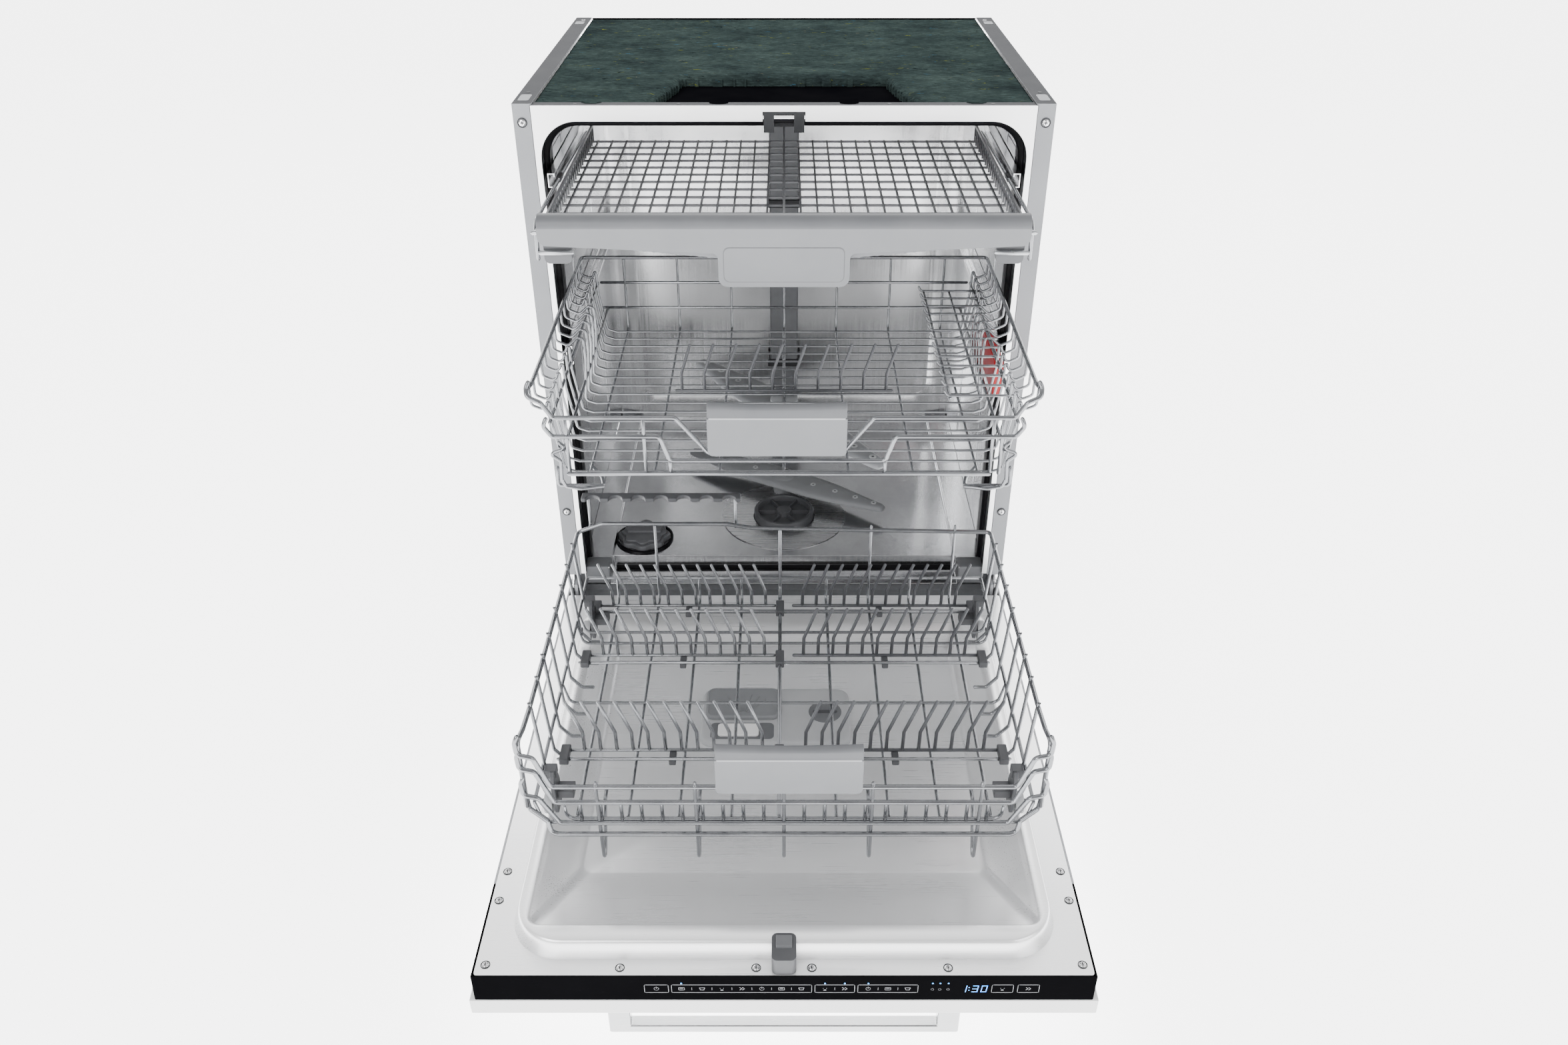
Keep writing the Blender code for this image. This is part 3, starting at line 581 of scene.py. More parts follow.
def make_fascia():
    low = 0.190
    half = SIDE_HALF - 0.0203
    outer = [(-half, low), (-half, 0.8125), (half, 0.8125), (half, low)]
    inner = arch(OPEN_HALF, OPEN_TOP, low, OPEN_RADIUS)
    middle = len(inner) // 2
    notch = [(-0.0235, OPEN_TOP), (-0.0235, 0.8055), (0.0235, 0.8055), (0.0235, OPEN_TOP)]
    inner = inner[:middle] + notch + inner[middle:]
    plate = prism(outer + inner[::-1], 1, 0, 0.0015)
    piece("front_fascia_shown", plate, "cabinet", "fascia", ["front_fascia"], 0.0004)
    # The top flange faces up and takes the darker rail material: painted shade.
    flange = block((-half, half), (0.0004, 0.0135), (0.8115, 0.8127))
    piece("top_flange", flange, "cabinet", "rail", bevel=0.0004)
    holes = []
    # Dark discs where the flange has holes: painted shade inside them.
    for x in (-0.230, -0.116, 0.116, 0.230):
        holes.append(disc(0.0022, 0.8125, 0.8129, (x, 0.0065), steps=20))
    piece("flange_hole_shade", holes, "cabinet", "dark")
    lobes = []
    wide, back = 0.0105, 0.030
    for x in (-0.072, 0.072):
        tip = spread(math.pi, 2 * math.pi, 12)
        tongue = [(x + wide * math.cos(a), 0.010 + 0.0055 * math.sin(a)) for a in tip]
        lobes.append(prism([(x - wide, back), *tongue, (x + wide, back)], 2, 0.8122, 0.8133))
    piece("sheet_lobes", lobes, "cabinet", "sheet", bevel=0.0002)


def make_tub():
    low = 0.1983
    outer = arch(0.277, 0.799, low, 0.044)
    inner = arch(0.275, 0.797, low, 0.042)
    wrapper = prism(outer + inner[::-1], 1, 0.003, 0.470)
    piece("tub_wrapper_shown", wrapper, "cabinet", "tub", ["tub_wrapper"], 0.0004)
    ribs = []
    for y in (0.150, 0.340):
        bead = [(0, y - 0.006), (0.0011, y - 0.003), (0.0011, y + 0.003), (0, y + 0.006)]
        ribs.append(arch_sweep(0.2752, 0.7972, 0.230, 0.0420, bead))
    piece("tub_beads", ribs, "cabinet", "tub", sharp=60)
    sheet, back = 0.4723, 0.4705
    loops = []
    for half, z0, z1, radius, y in (
        (0.232, 0.238, 0.752, 0.022, back + 0.0032),
        (0.239, 0.231, 0.759, 0.026, back + 0.0030),
        (0.246, 0.224, 0.766, 0.030, back),
        (0.277, 0.170, 0.799, 0.004, back),
        (0.277, 0.170, 0.799, 0.004, sheet),
        (0.247, 0.223, 0.767, 0.030, sheet),
        (0.240, 0.230, 0.760, 0.026, sheet + 0.0028),
        (0.232, 0.238, 0.752, 0.022, sheet + 0.0030),
    ):
        loops.append(placed(rounded(-half, half, z0, z1, radius), 1, y))
    wall = piece("tub_rear_wall_shown", skin(loops), "cabinet", "tub", ["tub_rear_wall"], sharp=50)
    wall.data.materials.append(MATERIALS["outside"])
    for face in wall.data.polygons:
        if face.normal.y > 0.3 and face.center.y > sheet - 0.0005 + SHIFT:
            face.material_index = 1
    softened("tub_floor", "cabinet", "tub", 0.0008)
    bead = [
        (0, 0.082), (0, 0.0022), (0.0014, 0.0019), (0.0022, 0.0040), (0.0022, 0.0250), (0.0052, 0.0262),
        (0.0070, 0.0290)
    ]
    bead += [
        (0.0072, 0.0345), (0.0058, 0.0368), (0.0052, 0.0385), (0.0064, 0.0405), (0.0066, 0.0425),
        (0.0050, 0.044)
    ]
    bead += [(0.0011, 0.0445), (0.0010, 0.0820)]
    seal = arch_sweep(0.2747, 0.7967, 0.200, 0.0417, bead, sink=1.9)
    piece("door_gasket_shown", seal, "cabinet", "rubber", ["door_gasket"], sharp=60)
    softened("lower_seal", "cabinet", "rubber", 0.0012, 3)
    softened("latch_strike", "cabinet", "dark", 0.0005)
    bolt = disc(0.0022, -0.0112, 0.0112, (0.0140, 0.7960), 0, 24)
    piece("strike_bolt", bolt, "cabinet", "mid_grey", bevel=0.0003)
    softened("water_duct", "cabinet", "mid_grey", 0.003, 3)
    clamps = [block((-0.026, 0.026), (0.4330, 0.4690), (z, z + 0.012)) for z in (0.300, 0.560, 0.700)]
    piece("duct_clamps", clamps, "cabinet", "dark", bevel=0.0015)


def felt_height(x, y):
    """Lumps and tufts of the matted fibre."""
    rough = noise.noise(Vector((x * 55, y * 80, 0))) * 0.0004
    rough += noise.noise(Vector((x * 150, y * 320, 3))) * 0.0004
    return rough + noise.noise(Vector((x * 420, y * 700, 7))) * 0.0003


def make_felt():
    """The mat on top, with its front cut-out, ragged edges and the lobes that hang over the flange."""
    step = 0.0022
    half, front, back, cut_back, cut_half = 0.2766, 0.012, 0.505, 0.144, 0.1215
    lobes = [(-0.2125, 0.0115), (-0.140, 0.0055), (0.140, 0.0055), (0.2125, 0.0115)]
    reach = 0.0070
    bm = bmesh.new()
    columns = int(2 * half / step)
    rows = int((back - front + reach) / step)
    tops = {}
    for i in range(columns + 1):
        x = -half + 2 * half * i / columns
        for j in range(rows + 1):
            y = front - reach + (back - front + reach) * j / rows
            lobe = any(
                abs(x - at) < wide and y > front - reach * math.sqrt(1 - ((x - at) / wide) ** 2)
                for at, wide in lobes
            )
            ragged = 0.0022 * noise.noise(Vector((x * 70, y * 70, 1)))
            limit = cut_half + 0.030 * max(0, (cut_back - y) / (cut_back - front)) ** 1.5 + ragged
            if (y < front and not lobe) or (abs(x) < limit and y < cut_back + ragged):
                continue
            edge = min(half - abs(x), back - y, y - (front - reach if lobe else front))
            cut = math.hypot(max(0, abs(x) - limit), max(0, y - cut_back))
            drop = 0.0012 * max(0, 1 - edge / 0.005) ** 2
            if y < cut_back + 0.03:
                drop += 0.0055 * max(0, 1 - cut / 0.013) ** 2
            z = min(0.8125 - drop + felt_height(x, y), 0.8146)
            if lobe and y < front:
                z = 0.8137 + felt_height(x, y) * 0.3
            tops[i, j] = bm.verts.new((x, y, z))
    for (i, j), corner in list(tops.items()):
        ring = [corner, tops.get((i + 1, j)), tops.get((i + 1, j + 1)), tops.get((i, j + 1))]
        if all(ring):
            bm.faces.new(ring)
    loose = [v for v in bm.verts if not v.link_faces]
    bmesh.ops.delete(bm, geom=loose, context="VERTS")
    rim = [edge for edge in bm.edges if len(edge.link_faces) == 1]
    made = bmesh.ops.extrude_edge_only(bm, edges=rim)
    for vert in (v for v in made["geom"] if isinstance(v, bmesh.types.BMVert)):
        vert.co.z = 0.7996 if vert.co.y > front - 0.001 else 0.8128
    mesh = bpy.data.meshes.new("felt")
    bmesh.ops.recalc_face_normals(bm, faces=bm.faces)
    bm.to_mesh(mesh)
    bm.free()
    mat = piece("top_felt_shown", mesh, "cabinet", "felt", ["top_felt"], sharp=80)
    sheet = block((-0.165, 0.165), (0.0138, 0.175), (0.7993, 0.7999))
    piece("top_sheet", sheet, "cabinet", "sheet", bevel=0.0002)
    edge = block((-0.276, 0.276), (0.5052, 0.5070), (0.7990, 0.8140))
    piece("rear_binding", edge, "cabinet", "sheet", bevel=0.0004)


def channel(x_open, x_back, z_low, z_high, y_low, y_high, thick=0.0012, lip=0.004):
    """A C-shaped rail open towards x_open."""
    s = math.copysign(1, x_back - x_open)
    outline = [
        (x_open, z_low), (x_back, z_low), (x_back, z_high), (x_open, z_high),
        (x_open, z_high - lip), (x_open + s * thick, z_high - lip), (x_open + s * thick, z_high - thick),
        (x_back - s * thick, z_high - thick), (x_back - s * thick, z_low + thick),
        (x_open + s * thick, z_low + thick), (x_open + s * thick, z_low + lip), (x_open, z_low + lip),
    ]
    return prism(outline, 1, y_low, y_high)


def make_rails():
    for side, sign in SIDES:
        for name, low, high in ((f"middle_rail_{side}", 0.503, 0.537), (f"third_rail_{side}", 0.722, 0.744)):
            rail = channel(sign * 0.2666, sign * 0.2746, low, high, 0.046, 0.462)
            stop = block((sign * 0.2668, sign * 0.2745), (0.0462, 0.0520), (low + 0.001, high - 0.001))
            piece(f"{name}_shown", rail, "cabinet", "chrome", [name], 0.0004)
            piece(f"{name}_stop", stop, "cabinet", "clip", bevel=0.0008)
        bar = channel(sign * 0.2576, sign * 0.2658, 0.508, 0.532, -0.0098, 0.120)
        piece(
            f"middle_carrier_{side}_shown", bar, "middle_slide", "chrome", [f"middle_carrier_{side}"],
            0.0004
        )
        cap = block((sign * 0.2577, sign * 0.2657), (-0.0099, -0.0040), (0.5085, 0.5315))
        piece(f"middle_carrier_{side}_cap", cap, "middle_slide", "dark", bevel=0.0012)


def make_base():
    softened("base_frame", "cabinet", "dark", 0.001)
    for place in ("front_left", "front_right", "rear_left", "rear_right"):
        softened(f"levelling_foot_{place}", "cabinet", "dark", 0.0008)
    for name in ("sump", "circulation_pump", "drain_pump"):
        softened(name, "cabinet", "dark", 0.002, 3)
    for name in ("softener_tank", "inlet_valve"):
        softened(name, "cabinet", "light_grey", 0.003, 3)
    for side in ("left", "right"):
        softened(f"hinge_bracket_{side}", "cabinet", "chrome", 0.0004)
        softened(f"door_spring_{side}", "cabinet", "chrome", 0.0004)
    ends = [block((s * 0.2395, s * 0.2745), (0.0035, 0.0300), (0.1706, 0.1986)) for s in (-1, 1)]
    piece("track_ends", ends, "cabinet", "mid_grey", bevel=0.0025, segments=3)
    x, y = SALT
    grips = []
    for inset, low, high in ((0.0, 0.1903, 0.1985), (0.0050, 0.1985, 0.2020)):
        outline = []
        for a in spread(0, 2 * math.pi * 95 / 96, 96):
            radius = 0.0345 - inset + 0.0024 * math.cos(8 * a)
            outline.append((x + radius * math.cos(a), y + radius * math.sin(a)))
        grips.append(prism(outline, 2, low, high))
    grips.append(prism(rounded(x - 0.025, x + 0.025, y - 0.006, y + 0.006, 0.004), 2, 0.2015, 0.2059))
    piece("salt_cap_shown", grips, "salt_cap", "salt", ["salt_cap"], 0.0012, 3)
    section = [(0.0410, 0.1902), (0.0372, 0.1902), (0.0372, 0.1925), (0.0382, 0.1932), (0.0410, 0.1925)]
    piece("salt_ring", turned(section, SALT, steps=48), "cabinet", "rubber")
    profile = [
        (0.0, 0.110), (0.042, 0.122), (0.0440, 0.191), (0.0438, 0.2012), (0.0425, 0.2029), (0.0385, 0.2029)
    ]
    profile += [(0.0375, 0.2015), (0.0370, 0.1945), (0.0120, 0.1945), (0.0110, 0.2020), (0.0, 0.2029)]
    body = turned(profile, FILTER, steps=48)
    ribs = []
    for k in range(6):
        rib = block((0.010, 0.0380), (-0.0012, 0.0012), (0.193, 0.2000))
        ribs.append(moved(rib, (*FILTER, 0), math.pi / 3 * k))
    piece("filter_cup_shown", [body] + ribs, "filter", "cup", ["filter_cup"], 0.0005)
    section = [(0.0450, 0.1902), (0.0470, 0.1902), (0.0900, 0.1904), (0.0902, 0.1912), (0.0450, 0.1914)]
    piece("filter_plate", turned(section, FILTER, steps=64), "cabinet", "bar", sharp=50)


# ---------------------------------------------------------------- spray arms


def spray_arm(node_name, body, centre, low, thick, reach, angle, hub):
    """A two-bladed arm with a crowned top, a round hub and ringed nozzles."""
    steps = 40
    loops = []
    section = [(0.002, low), (0.0, low + 0.0015), (0.0, low + thick * 0.45), (0.0022, low + thick * 0.8)]
    for inset, z in [*section, (0.006, low + thick)]:
        ring = []
        for k in range(2 * steps):
            a = math.pi * k / steps
            c, s = math.cos(a), math.sin(a)
            run = (reach - inset) * math.copysign(abs(c) ** 0.6, c)
            width = (0.013 - inset + 0.014 * abs(s) ** 6) * abs(s) ** 0.4
            wide = math.copysign(width, s)
            x = centre[0] + run * math.cos(angle) - wide * math.sin(angle)
            y = centre[1] + run * math.sin(angle) + wide * math.cos(angle)
            ring.append((x, y, z))
        loops.append(ring)
    base, crown = hub
    dome = turned([(0, base), (0.016, base), (0.016, crown - 0.002), (0.013, crown), (0, crown)], centre)
    piece(f"{node_name}_shown", [skin(loops), dome], body, "grey", [node_name], 0.0006)
    nozzles, holes = [], []
    top = low + thick
    rim = [(0.0016, top - 0.001), (0.0042, top - 0.001), (0.0040, top + 0.0008), (0.0020, top + 0.0010)]
    for sign in (-1, 1):
        for far in (0.30, 0.52, 0.72, 0.90):
            run = sign * far * reach
            at = (centre[0] + run * math.cos(angle), centre[1] + run * math.sin(angle))
            nozzles.append(turned(rim, at, steps=20))
            # A dark disc in each nozzle: painted shade in its opening.
            holes.append(disc(0.0018, top - 0.0008, top + 0.0002, at, steps=16))
    piece(f"{node_name}_nozzles", nozzles, body, "light_grey")
    piece(f"{node_name}_nozzle_hole_shade", holes, body, "dark")


# ---------------------------------------------------------------- door

DOOR_END, SKIN, BORDER, PAN = -0.641, 0.166, 0.186, 0.150
PRINT_PROUD = 0.0003


def eased(t):
    """An S-shaped rise from 0 to 1."""
    return 3 * t * t - 2 * t**3


def make_inner_panel():
    border = (-0.268, 0.268, -0.621, -0.036)
    lip = (-0.248, 0.248, -0.594, -0.060)
    floor = (-0.214, 0.214, -0.499, -0.110)
    margin = (-0.2955, 0.2955, DOOR_END + 0.0023, -0.018)
    slope, low_border = (-0.140, -0.180), 0.172

    def ring(box, radius, z, inward=0.0):
        """A level outline, but low where the border runs down to the hinge side."""
        x0, x1, y0, y1 = box
        x0, x1, y0, y1 = x0 + inward, x1 - inward, y0 + inward, y1 - inward
        shape = rounded(x0, x1, y0, y1, radius, 12)
        corner = len(shape) // 4
        bends = spread(*slope, 7)
        left, right = [(x0, y) for y in bends], [(x1, y) for y in bends[::-1]]
        shape = shape[: 2 * corner] + left + shape[2 * corner :] + right
        out = []
        for x, y in shape:
            t = min(max((y - slope[1]) / (slope[0] - slope[1]), 0), 1)
            ceiling = BORDER + (low_border - BORDER) * eased(t)
            lift = (z - SKIN) * (ceiling - SKIN) / (BORDER - SKIN)
            out.append((x, y, z if z <= SKIN + 1e-6 else SKIN + lift))
        return out

    def between(first, second, t):
        return tuple(a + (b - a) * t for a, b in zip(first, second))

    top = [ring(margin, 0.003, SKIN), ring(border, 0.052, SKIN, -0.0012)]
    for t in spread(0, 1, 9):
        z = SKIN + (BORDER - SKIN) * eased(t)
        top.append(ring(border, 0.052 - 0.004 * t, z, 0.0075 * t**1.4))
    round_edge = 0.0030
    for k in range(4):
        a = math.pi / 6 * k
        drop, reach = round_edge * (1 - math.cos(a)), round_edge * (1 - math.sin(a))
        top.append(ring(lip, 0.012, BORDER - drop, -reach))
    for t in (0.12, 0.5, 0.88):
        depth = BORDER - round_edge + (PAN + 0.0015 - BORDER + round_edge) * t
        top.append(ring(between(lip, floor, t), 0.012, depth))
    top.append(ring(floor, 0.012, PAN + 0.0006, -0.001))
    top.append(ring(floor, 0.011, PAN, 0.0025))
    under = [[(x, y, z - 0.0013) for x, y, z in loop] for loop in top]
    mesh = skin(under[::-1] + top)
    piece("door_inner_panel_shown", mesh, "door", "door", ["door_inner_panel"], sharp=50)
    corners = ((0.2865, -0.511), (0.2880, -0.549), (0.286, -0.627))
    places = [(s * x, y, SKIN - 0.0001) for s in (-1, 1) for x, y in corners]
    places += [(s * x, -0.6305, SKIN - 0.0001) for s in (-1, 1) for x in (0.1568, 0.0266)]
    screws("door_screws", places, "up", "door", 0.0034)
    stud = [(0, PAN), (0.0036, PAN), (0.0028, PAN + 0.0012), (0, PAN + 0.0016)]
    piece("pan_stud", turned(stud, (0.004, -0.146), steps=20), "door", "chrome")
    seam = [(0.0190, PAN), (0.0200, PAN), (0.0200, PAN + 0.0005), (0.0190, PAN + 0.0005)]
    piece("pan_ring", turned(seam, (0.008, -0.330), steps=40), "door", "chrome")


def make_door_shell():
    softened("door_outer_panel", "door", "door_side", 0.0005)
    softened("decor_panel", "door", "white", 0.0014, 3)
    face = softened("control_panel", "door", "gloss", 0.0008, 3)
    for vert in face.data.vertices:
        if vert.co.y < DOOR_END + SHIFT + 0.0005:
            vert.co.y += PRINT_PROUD
    softened("door_handle", "door", "handle", 0.0022, 4)
    low = 0.1663
    # The latch notch is a dark block: painted shadow in the hollow of the border.
    notch = rounded(-0.0118, 0.0118, -0.6385, -0.6060, 0.0055)
    piece("latch_notch_shadow", prism(notch, 2, low, 0.1870), "door", "shadow", bevel=0.0006)
    side = [(-0.6310, low), (-0.6100, low), (-0.6100, 0.1890), (-0.6230, 0.1890), (-0.6310, 0.1760)]
    hook = prism(side, 0, -0.0078, 0.0078)
    tip = [(-0.0075, -0.6230, 0.1880), (0.0075, -0.6230, 0.1880), (0.0, -0.6150, 0.1892)]
    foot = [(-0.0040, -0.6340, low), (0.0040, -0.6340, low), (0.0, -0.6370, low)]
    piece("latch_hook_shown", [hook, skin([tip, foot])], "door", "mid_grey", ["latch_hook"], 0.0008, 3)


def stroke(points, width, y_face, closed=False):
    """A flat printed line on the control face, in (x, z) points."""
    count = len(points)
    quads = []
    for i in range(count if closed else count - 1):
        a, b = Vector(points[i]), Vector(points[(i + 1) % count])
        side = Vector((-(b - a).y, (b - a).x)).normalized() * width / 2
        reach = (b - a).normalized() * width / 2
        corners = [a - reach + side, b + reach + side, b + reach - side, a - reach - side]
        quads.append(prism([tuple(c) for c in corners], 1, y_face - 0.00012, y_face + 0.0001))
    return quads


def circle(x, z, radius, low=0, high=360, steps=20):
    return arc(x, z, radius, [math.radians(a) for a in spread(low, high, steps)])


def make_print():
    """Touch-key outlines, plain icons, indicator lights and a clock on the control face; the outlines and
    icons glow faintly, a painted light.
    """
    y, mid, high, line = DOOR_END + PRINT_PROUD, 0.1485, 0.0115, 0.00038
    lines, lights = [], []
    icons = (-0.1221, -0.098, -0.0783, -0.0594, -0.0401, -0.0212, -0.0023, 0.0166, 0.0391, 0.0580)
    icons += (0.0805, 0.0994, 0.1183, 0.2089, 0.2337)
    keys = ((-0.1335, -0.1106), (-0.1075, 0.0265), (0.0296, 0.0675), (0.0706, 0.1281))
    for low, top in (*keys, (0.1987, 0.2192), (0.2235, 0.2440)):
        shape = rounded(low, top, mid - high / 2, mid + high / 2, 0.0012, 4)
        lines += stroke(shape, line, y, closed=True)
    for x in (-0.0882, -0.0689, -0.0498, -0.0307, -0.0118, 0.0072, 0.0486, 0.0900, 0.1089):
        lines += stroke([(x, mid - 0.0016), (x, mid + 0.0016)], line * 0.8, y)
    for k, x in enumerate(icons):
        kind = k % 5
        if kind == 0:
            lines += stroke(circle(x, mid, 0.0022, 120, 420), line, y)
            lines += stroke([(x, mid + 0.0006), (x, mid + 0.0028)], line, y)
        elif kind == 1:
            key = rounded(x - 0.0027, x + 0.0027, mid - 0.0019, mid + 0.0019, 0.0005, 3)
            lines += stroke(key, line, y, closed=True)
            lines += stroke([(x - 0.0014, mid), (x + 0.0014, mid)], line, y)
        elif kind == 2:
            bowl = [(x - 0.0026, mid + 0.0014), (x - 0.0016, mid - 0.0018)]
            bowl += [(x + 0.0016, mid - 0.0018), (x + 0.0026, mid + 0.0014)]
            lines += stroke(bowl, line, y)
            lines += stroke([bowl[0], bowl[-1]], line, y)
        elif kind == 3:
            lines += stroke(circle(x, mid + 0.0006, 0.0017, 180, 360), line, y)
            lines += stroke([(x, mid - 0.0011), (x, mid - 0.0024)], line, y)
            lines += stroke([(x - 0.0012, mid - 0.0024), (x + 0.0012, mid - 0.0024)], line, y)
        else:
            for at in (x - 0.0016, x + 0.0010):
                arrow = [(at - 0.0006, mid + 0.0018), (at + 0.0014, mid), (at - 0.0006, mid - 0.0018)]
                lines += stroke(arrow, line, y)
    for x in (-0.098, 0.0391, 0.0580, 0.0805, 0.1419, 0.1490, 0.1569):
        lights.append(prism(circle(x, mid + 0.0079, 0.00085, 0, 330, 12), 1, y - 0.00012, y + 0.0001))
    for x in (0.1419, 0.1490, 0.1569):
        lines += stroke(circle(x, mid - 0.0010, 0.0013, 0, 330), line * 0.8, y)
    segments = {
        "a": [(0, 2), (1, 2)], "b": [(1, 2), (1, 1)], "c": [(1, 1), (1, 0)], "d": [(0, 0), (1, 0)],
        "e": [(0, 0), (0, 1)], "f": [(0, 1), (0, 2)], "g": [(0, 1), (1, 1)],
    }
    for x, shown in ((0.1690, "bc"), (0.1800, "abcdg"), (0.1885, "abcdef")):
        for key in shown:
            ends = [(x + px * 0.0048 + pz * 0.0005, mid - 0.0046 + pz * 0.0044) for px, pz in segments[key]]
            lights += stroke(ends, 0.0008, y)
    for z in (mid - 0.0022, mid + 0.0018):
        lights.append(prism(circle(0.1770, z, 0.0006, 0, 330, 12), 1, y - 0.00012, y + 0.0001))
    piece("key_print_glow", lines, "door", "print")
    piece("indicator_lights", lights, "door", "led")


def make_dispenser():
    loops = []
    for d, rise in ((0, 0.0003), (0, 0.0040), (0.0010, 0.0060), (0.0025, 0.0070), (0.0060, 0.0072)):
        outline = rounded(-0.100 + d, 0.080 - d, -0.305 + d, -0.205 - d, 0.014 - d * 0.5)
        loops.append(placed(outline, 2, PAN + rise))
    piece("dispenser_body_shown", skin(loops), "door", "light_grey", ["dispenser_body"], sharp=50)
    section = ((0, 0.1578), (0, 0.1606), (0.0010, 0.1618), (0.0030, 0.1624), (0.0032, 0.1618))
    loops = []
    for d, z in (*section, (0.0060, 0.1616)):
        outline = rounded(-0.095 + d, -0.005 - d, -0.265 + d * 0.8, -0.210 - d * 0.8, 0.010 - d * 0.5)
        loops.append(placed(outline, 2, z))
    ribs = []
    for angle in spread(-0.75, 0.75, 7):
        s, c = math.sin(angle), math.cos(angle)
        start = Vector((-0.050 + s * 0.008, -0.262 + c * 0.008))
        end = Vector((-0.050 + s * 0.040, -0.262 + c * 0.040))
        side = Vector((c, -s)) * 0.0007
        corners = (start + side, end + side, end - side, start - side)
        ribs.append(prism([tuple(corner) for corner in corners], 2, 0.1612, 0.16235))
    piece("dispenser_lid_shown", [skin(loops)] + ribs, "dispenser_lid", "grey", ["dispenser_lid"], sharp=50)
    # The recess round the grip is a darker grey: painted shade in the hollow.
    recess = prism(rounded(-0.088, -0.012, -0.299, -0.270, 0.006), 2, 0.1565, 0.1574)
    grip = prism(rounded(-0.079, -0.030, -0.295, -0.274, 0.004), 2, 0.1570, 0.1602)
    piece("dispenser_recess_shade", recess, "door", "mid_grey", bevel=0.0003)
    piece("dispenser_grip", grip, "door", "white", bevel=0.0010, segments=3)
    section = [(0.0, 0.1568), (0.020, 0.1568), (0.0200, 0.1574), (0.0196, 0.1576), (0.0, 0.1576)]
    cap = turned(section, (0.050, -0.250), steps=40)
    slot = prism(rounded(0.0350, 0.0650, -0.2530, -0.2470, 0.0029), 2, 0.1570, 0.15765)
    piece("rinse_aid_cap", cap, "door", "mid_grey")
    piece("rinse_aid_slot", slot, "door", "clip")


# ---------------------------------------------------------------- lower rack

WIRE_THICK, WIRE_THIN, WIRE_ROD = 0.0026, 0.0018, 0.0020
LOW_FRONT, LOW_BACK, LOW_FLOOR = -0.510, -0.107, 0.2270


def make_lower_rack():
    f, b = LOW_FRONT + 0.002, LOW_BACK
    thick, thin, rods = [], [], []
    # each front wire steps up and out at its ends, and hooks on to the corner post
    for z, reach, rise in ((0.2835, 0.2300, 0.039), (0.2625, 0.2290, 0.042), (0.2340, 0.2262, 0.035)):
        run = [(reach, f, z), (0.2440, f - 0.0005, z + rise), (0.2585, f, z + rise + 0.003)]
        run += [(0.2600, f + 0.003, z + rise + 0.016), (0.2565, f + 0.004, z + rise + 0.025)]
        thick.append(mirrored(run))
    rim = [
        (0.2575, f + 0.004, 0.2520), (0.2575, f + 0.004, 0.3400), (0.2570, f + 0.028, 0.3340),
        (0.2560, f + 0.060, 0.3335)
    ]
    rim += [(0.2560, b, 0.3260)]
    across = [(-0.0400, b, 0.3320), (-0.0700, b, 0.3380), (-0.2250, b, 0.3380)]
    thick.append(rim + across + flipped(rim))
    low = [
        (0.2575, f + 0.005, 0.2700), (0.2560, f + 0.006, 0.2480), (0.2390, f + 0.004, 0.2330),
        (0.2360, f + 0.001, 0.2200)
    ]
    low.append((0.2290, f, 0.2180))
    thick.append(mirrored(low[::-1]))
    # side posts hook over the rim and run down and in to the floor
    for y in (-0.446, -0.404, -0.367, -0.330, -0.283, -0.239, -0.197, -0.152):
        post = [(0.2575, y, 0.3385), (0.2555, y, 0.3375), (0.2470, y - 0.004, 0.2420)]
        rods += both([post + [(0.2350, y - 0.004, LOW_FLOOR), (0.2200, y - 0.004, LOW_FLOOR)]])
    rods += both([[(0.2505, f + 0.006, 0.2560), (0.2505, b + 0.001, 0.2560)]])
    rods.append([(-0.2500, b + 0.001, 0.2560), (0.2500, b + 0.001, 0.2560)])
    for y in (-0.500, -0.450, -0.315, -0.204, -0.182, -0.140):
        thin.append(mirrored([(0.2440, y, LOW_FLOOR), (0.2510, y, 0.2560)]))
    thin.append(mirrored([(0.2200, f + 0.010, 0.2300), (0.2220, f + 0.010, 0.2480)]))
    for x in (-0.212, -0.160, -0.108, -0.054, 0.054, 0.108, 0.160, 0.212):
        top = 0.3360 if x in (-0.160, 0.108, 0.212) else 0.2560
        run = [(x, f + 0.010, 0.2300), (x, f + 0.018, LOW_FLOOR - 0.0036)]
        thin.append(run + [(x, b - 0.010, LOW_FLOOR - 0.0036), (x, b, LOW_FLOOR), (x, b, top)])
    for x in spread(-0.205, 0.205, 21):
        rods.append([(x, f + 0.006, 0.2590), (x, f + 0.008, 0.2300)])
    # the legs under the front reach down into the pan when the rack is out
    for x in (-0.186, -0.088, 0.0, 0.088, 0.196):
        leg = [(x, f + 0.002, 0.2890), (x, f - 0.0006, 0.2835), (x, f + 0.004, 0.1830)]
        leg += [(x, f + 0.008, 0.1768), (x, f + 0.014, 0.1830)]
        rods.append(leg + [(x, f + 0.040, LOW_FLOOR), (x, f + 0.060, LOW_FLOOR)])
    wires("lower_rack_rims", thick, WIRE_THICK, "lower_rack", "wire", ["lower_basket_wall"], 0.006)
    wires("lower_rack_rods", rods, WIRE_ROD, "lower_rack", bend=0.005)
    wires("lower_rack_grid", thin, WIRE_THIN, "lower_rack", "wire", ["lower_basket_floor"], 0.010)
    spine = [
        (-0.005, f + 0.010, 0.2330), (-0.005, b - 0.012, 0.2330), (-0.005, b, 0.2440), (-0.005, b, 0.3330)
    ]
    wires("lower_rack_spine", [spine], 0.0023, "lower_rack")
    make_handle("lower_handle", "lower_rack", (-0.067, 0.077), 0.283, 0.343, LOW_FRONT)
    make_wheels()
    make_tines()
    make_stemware_rail()


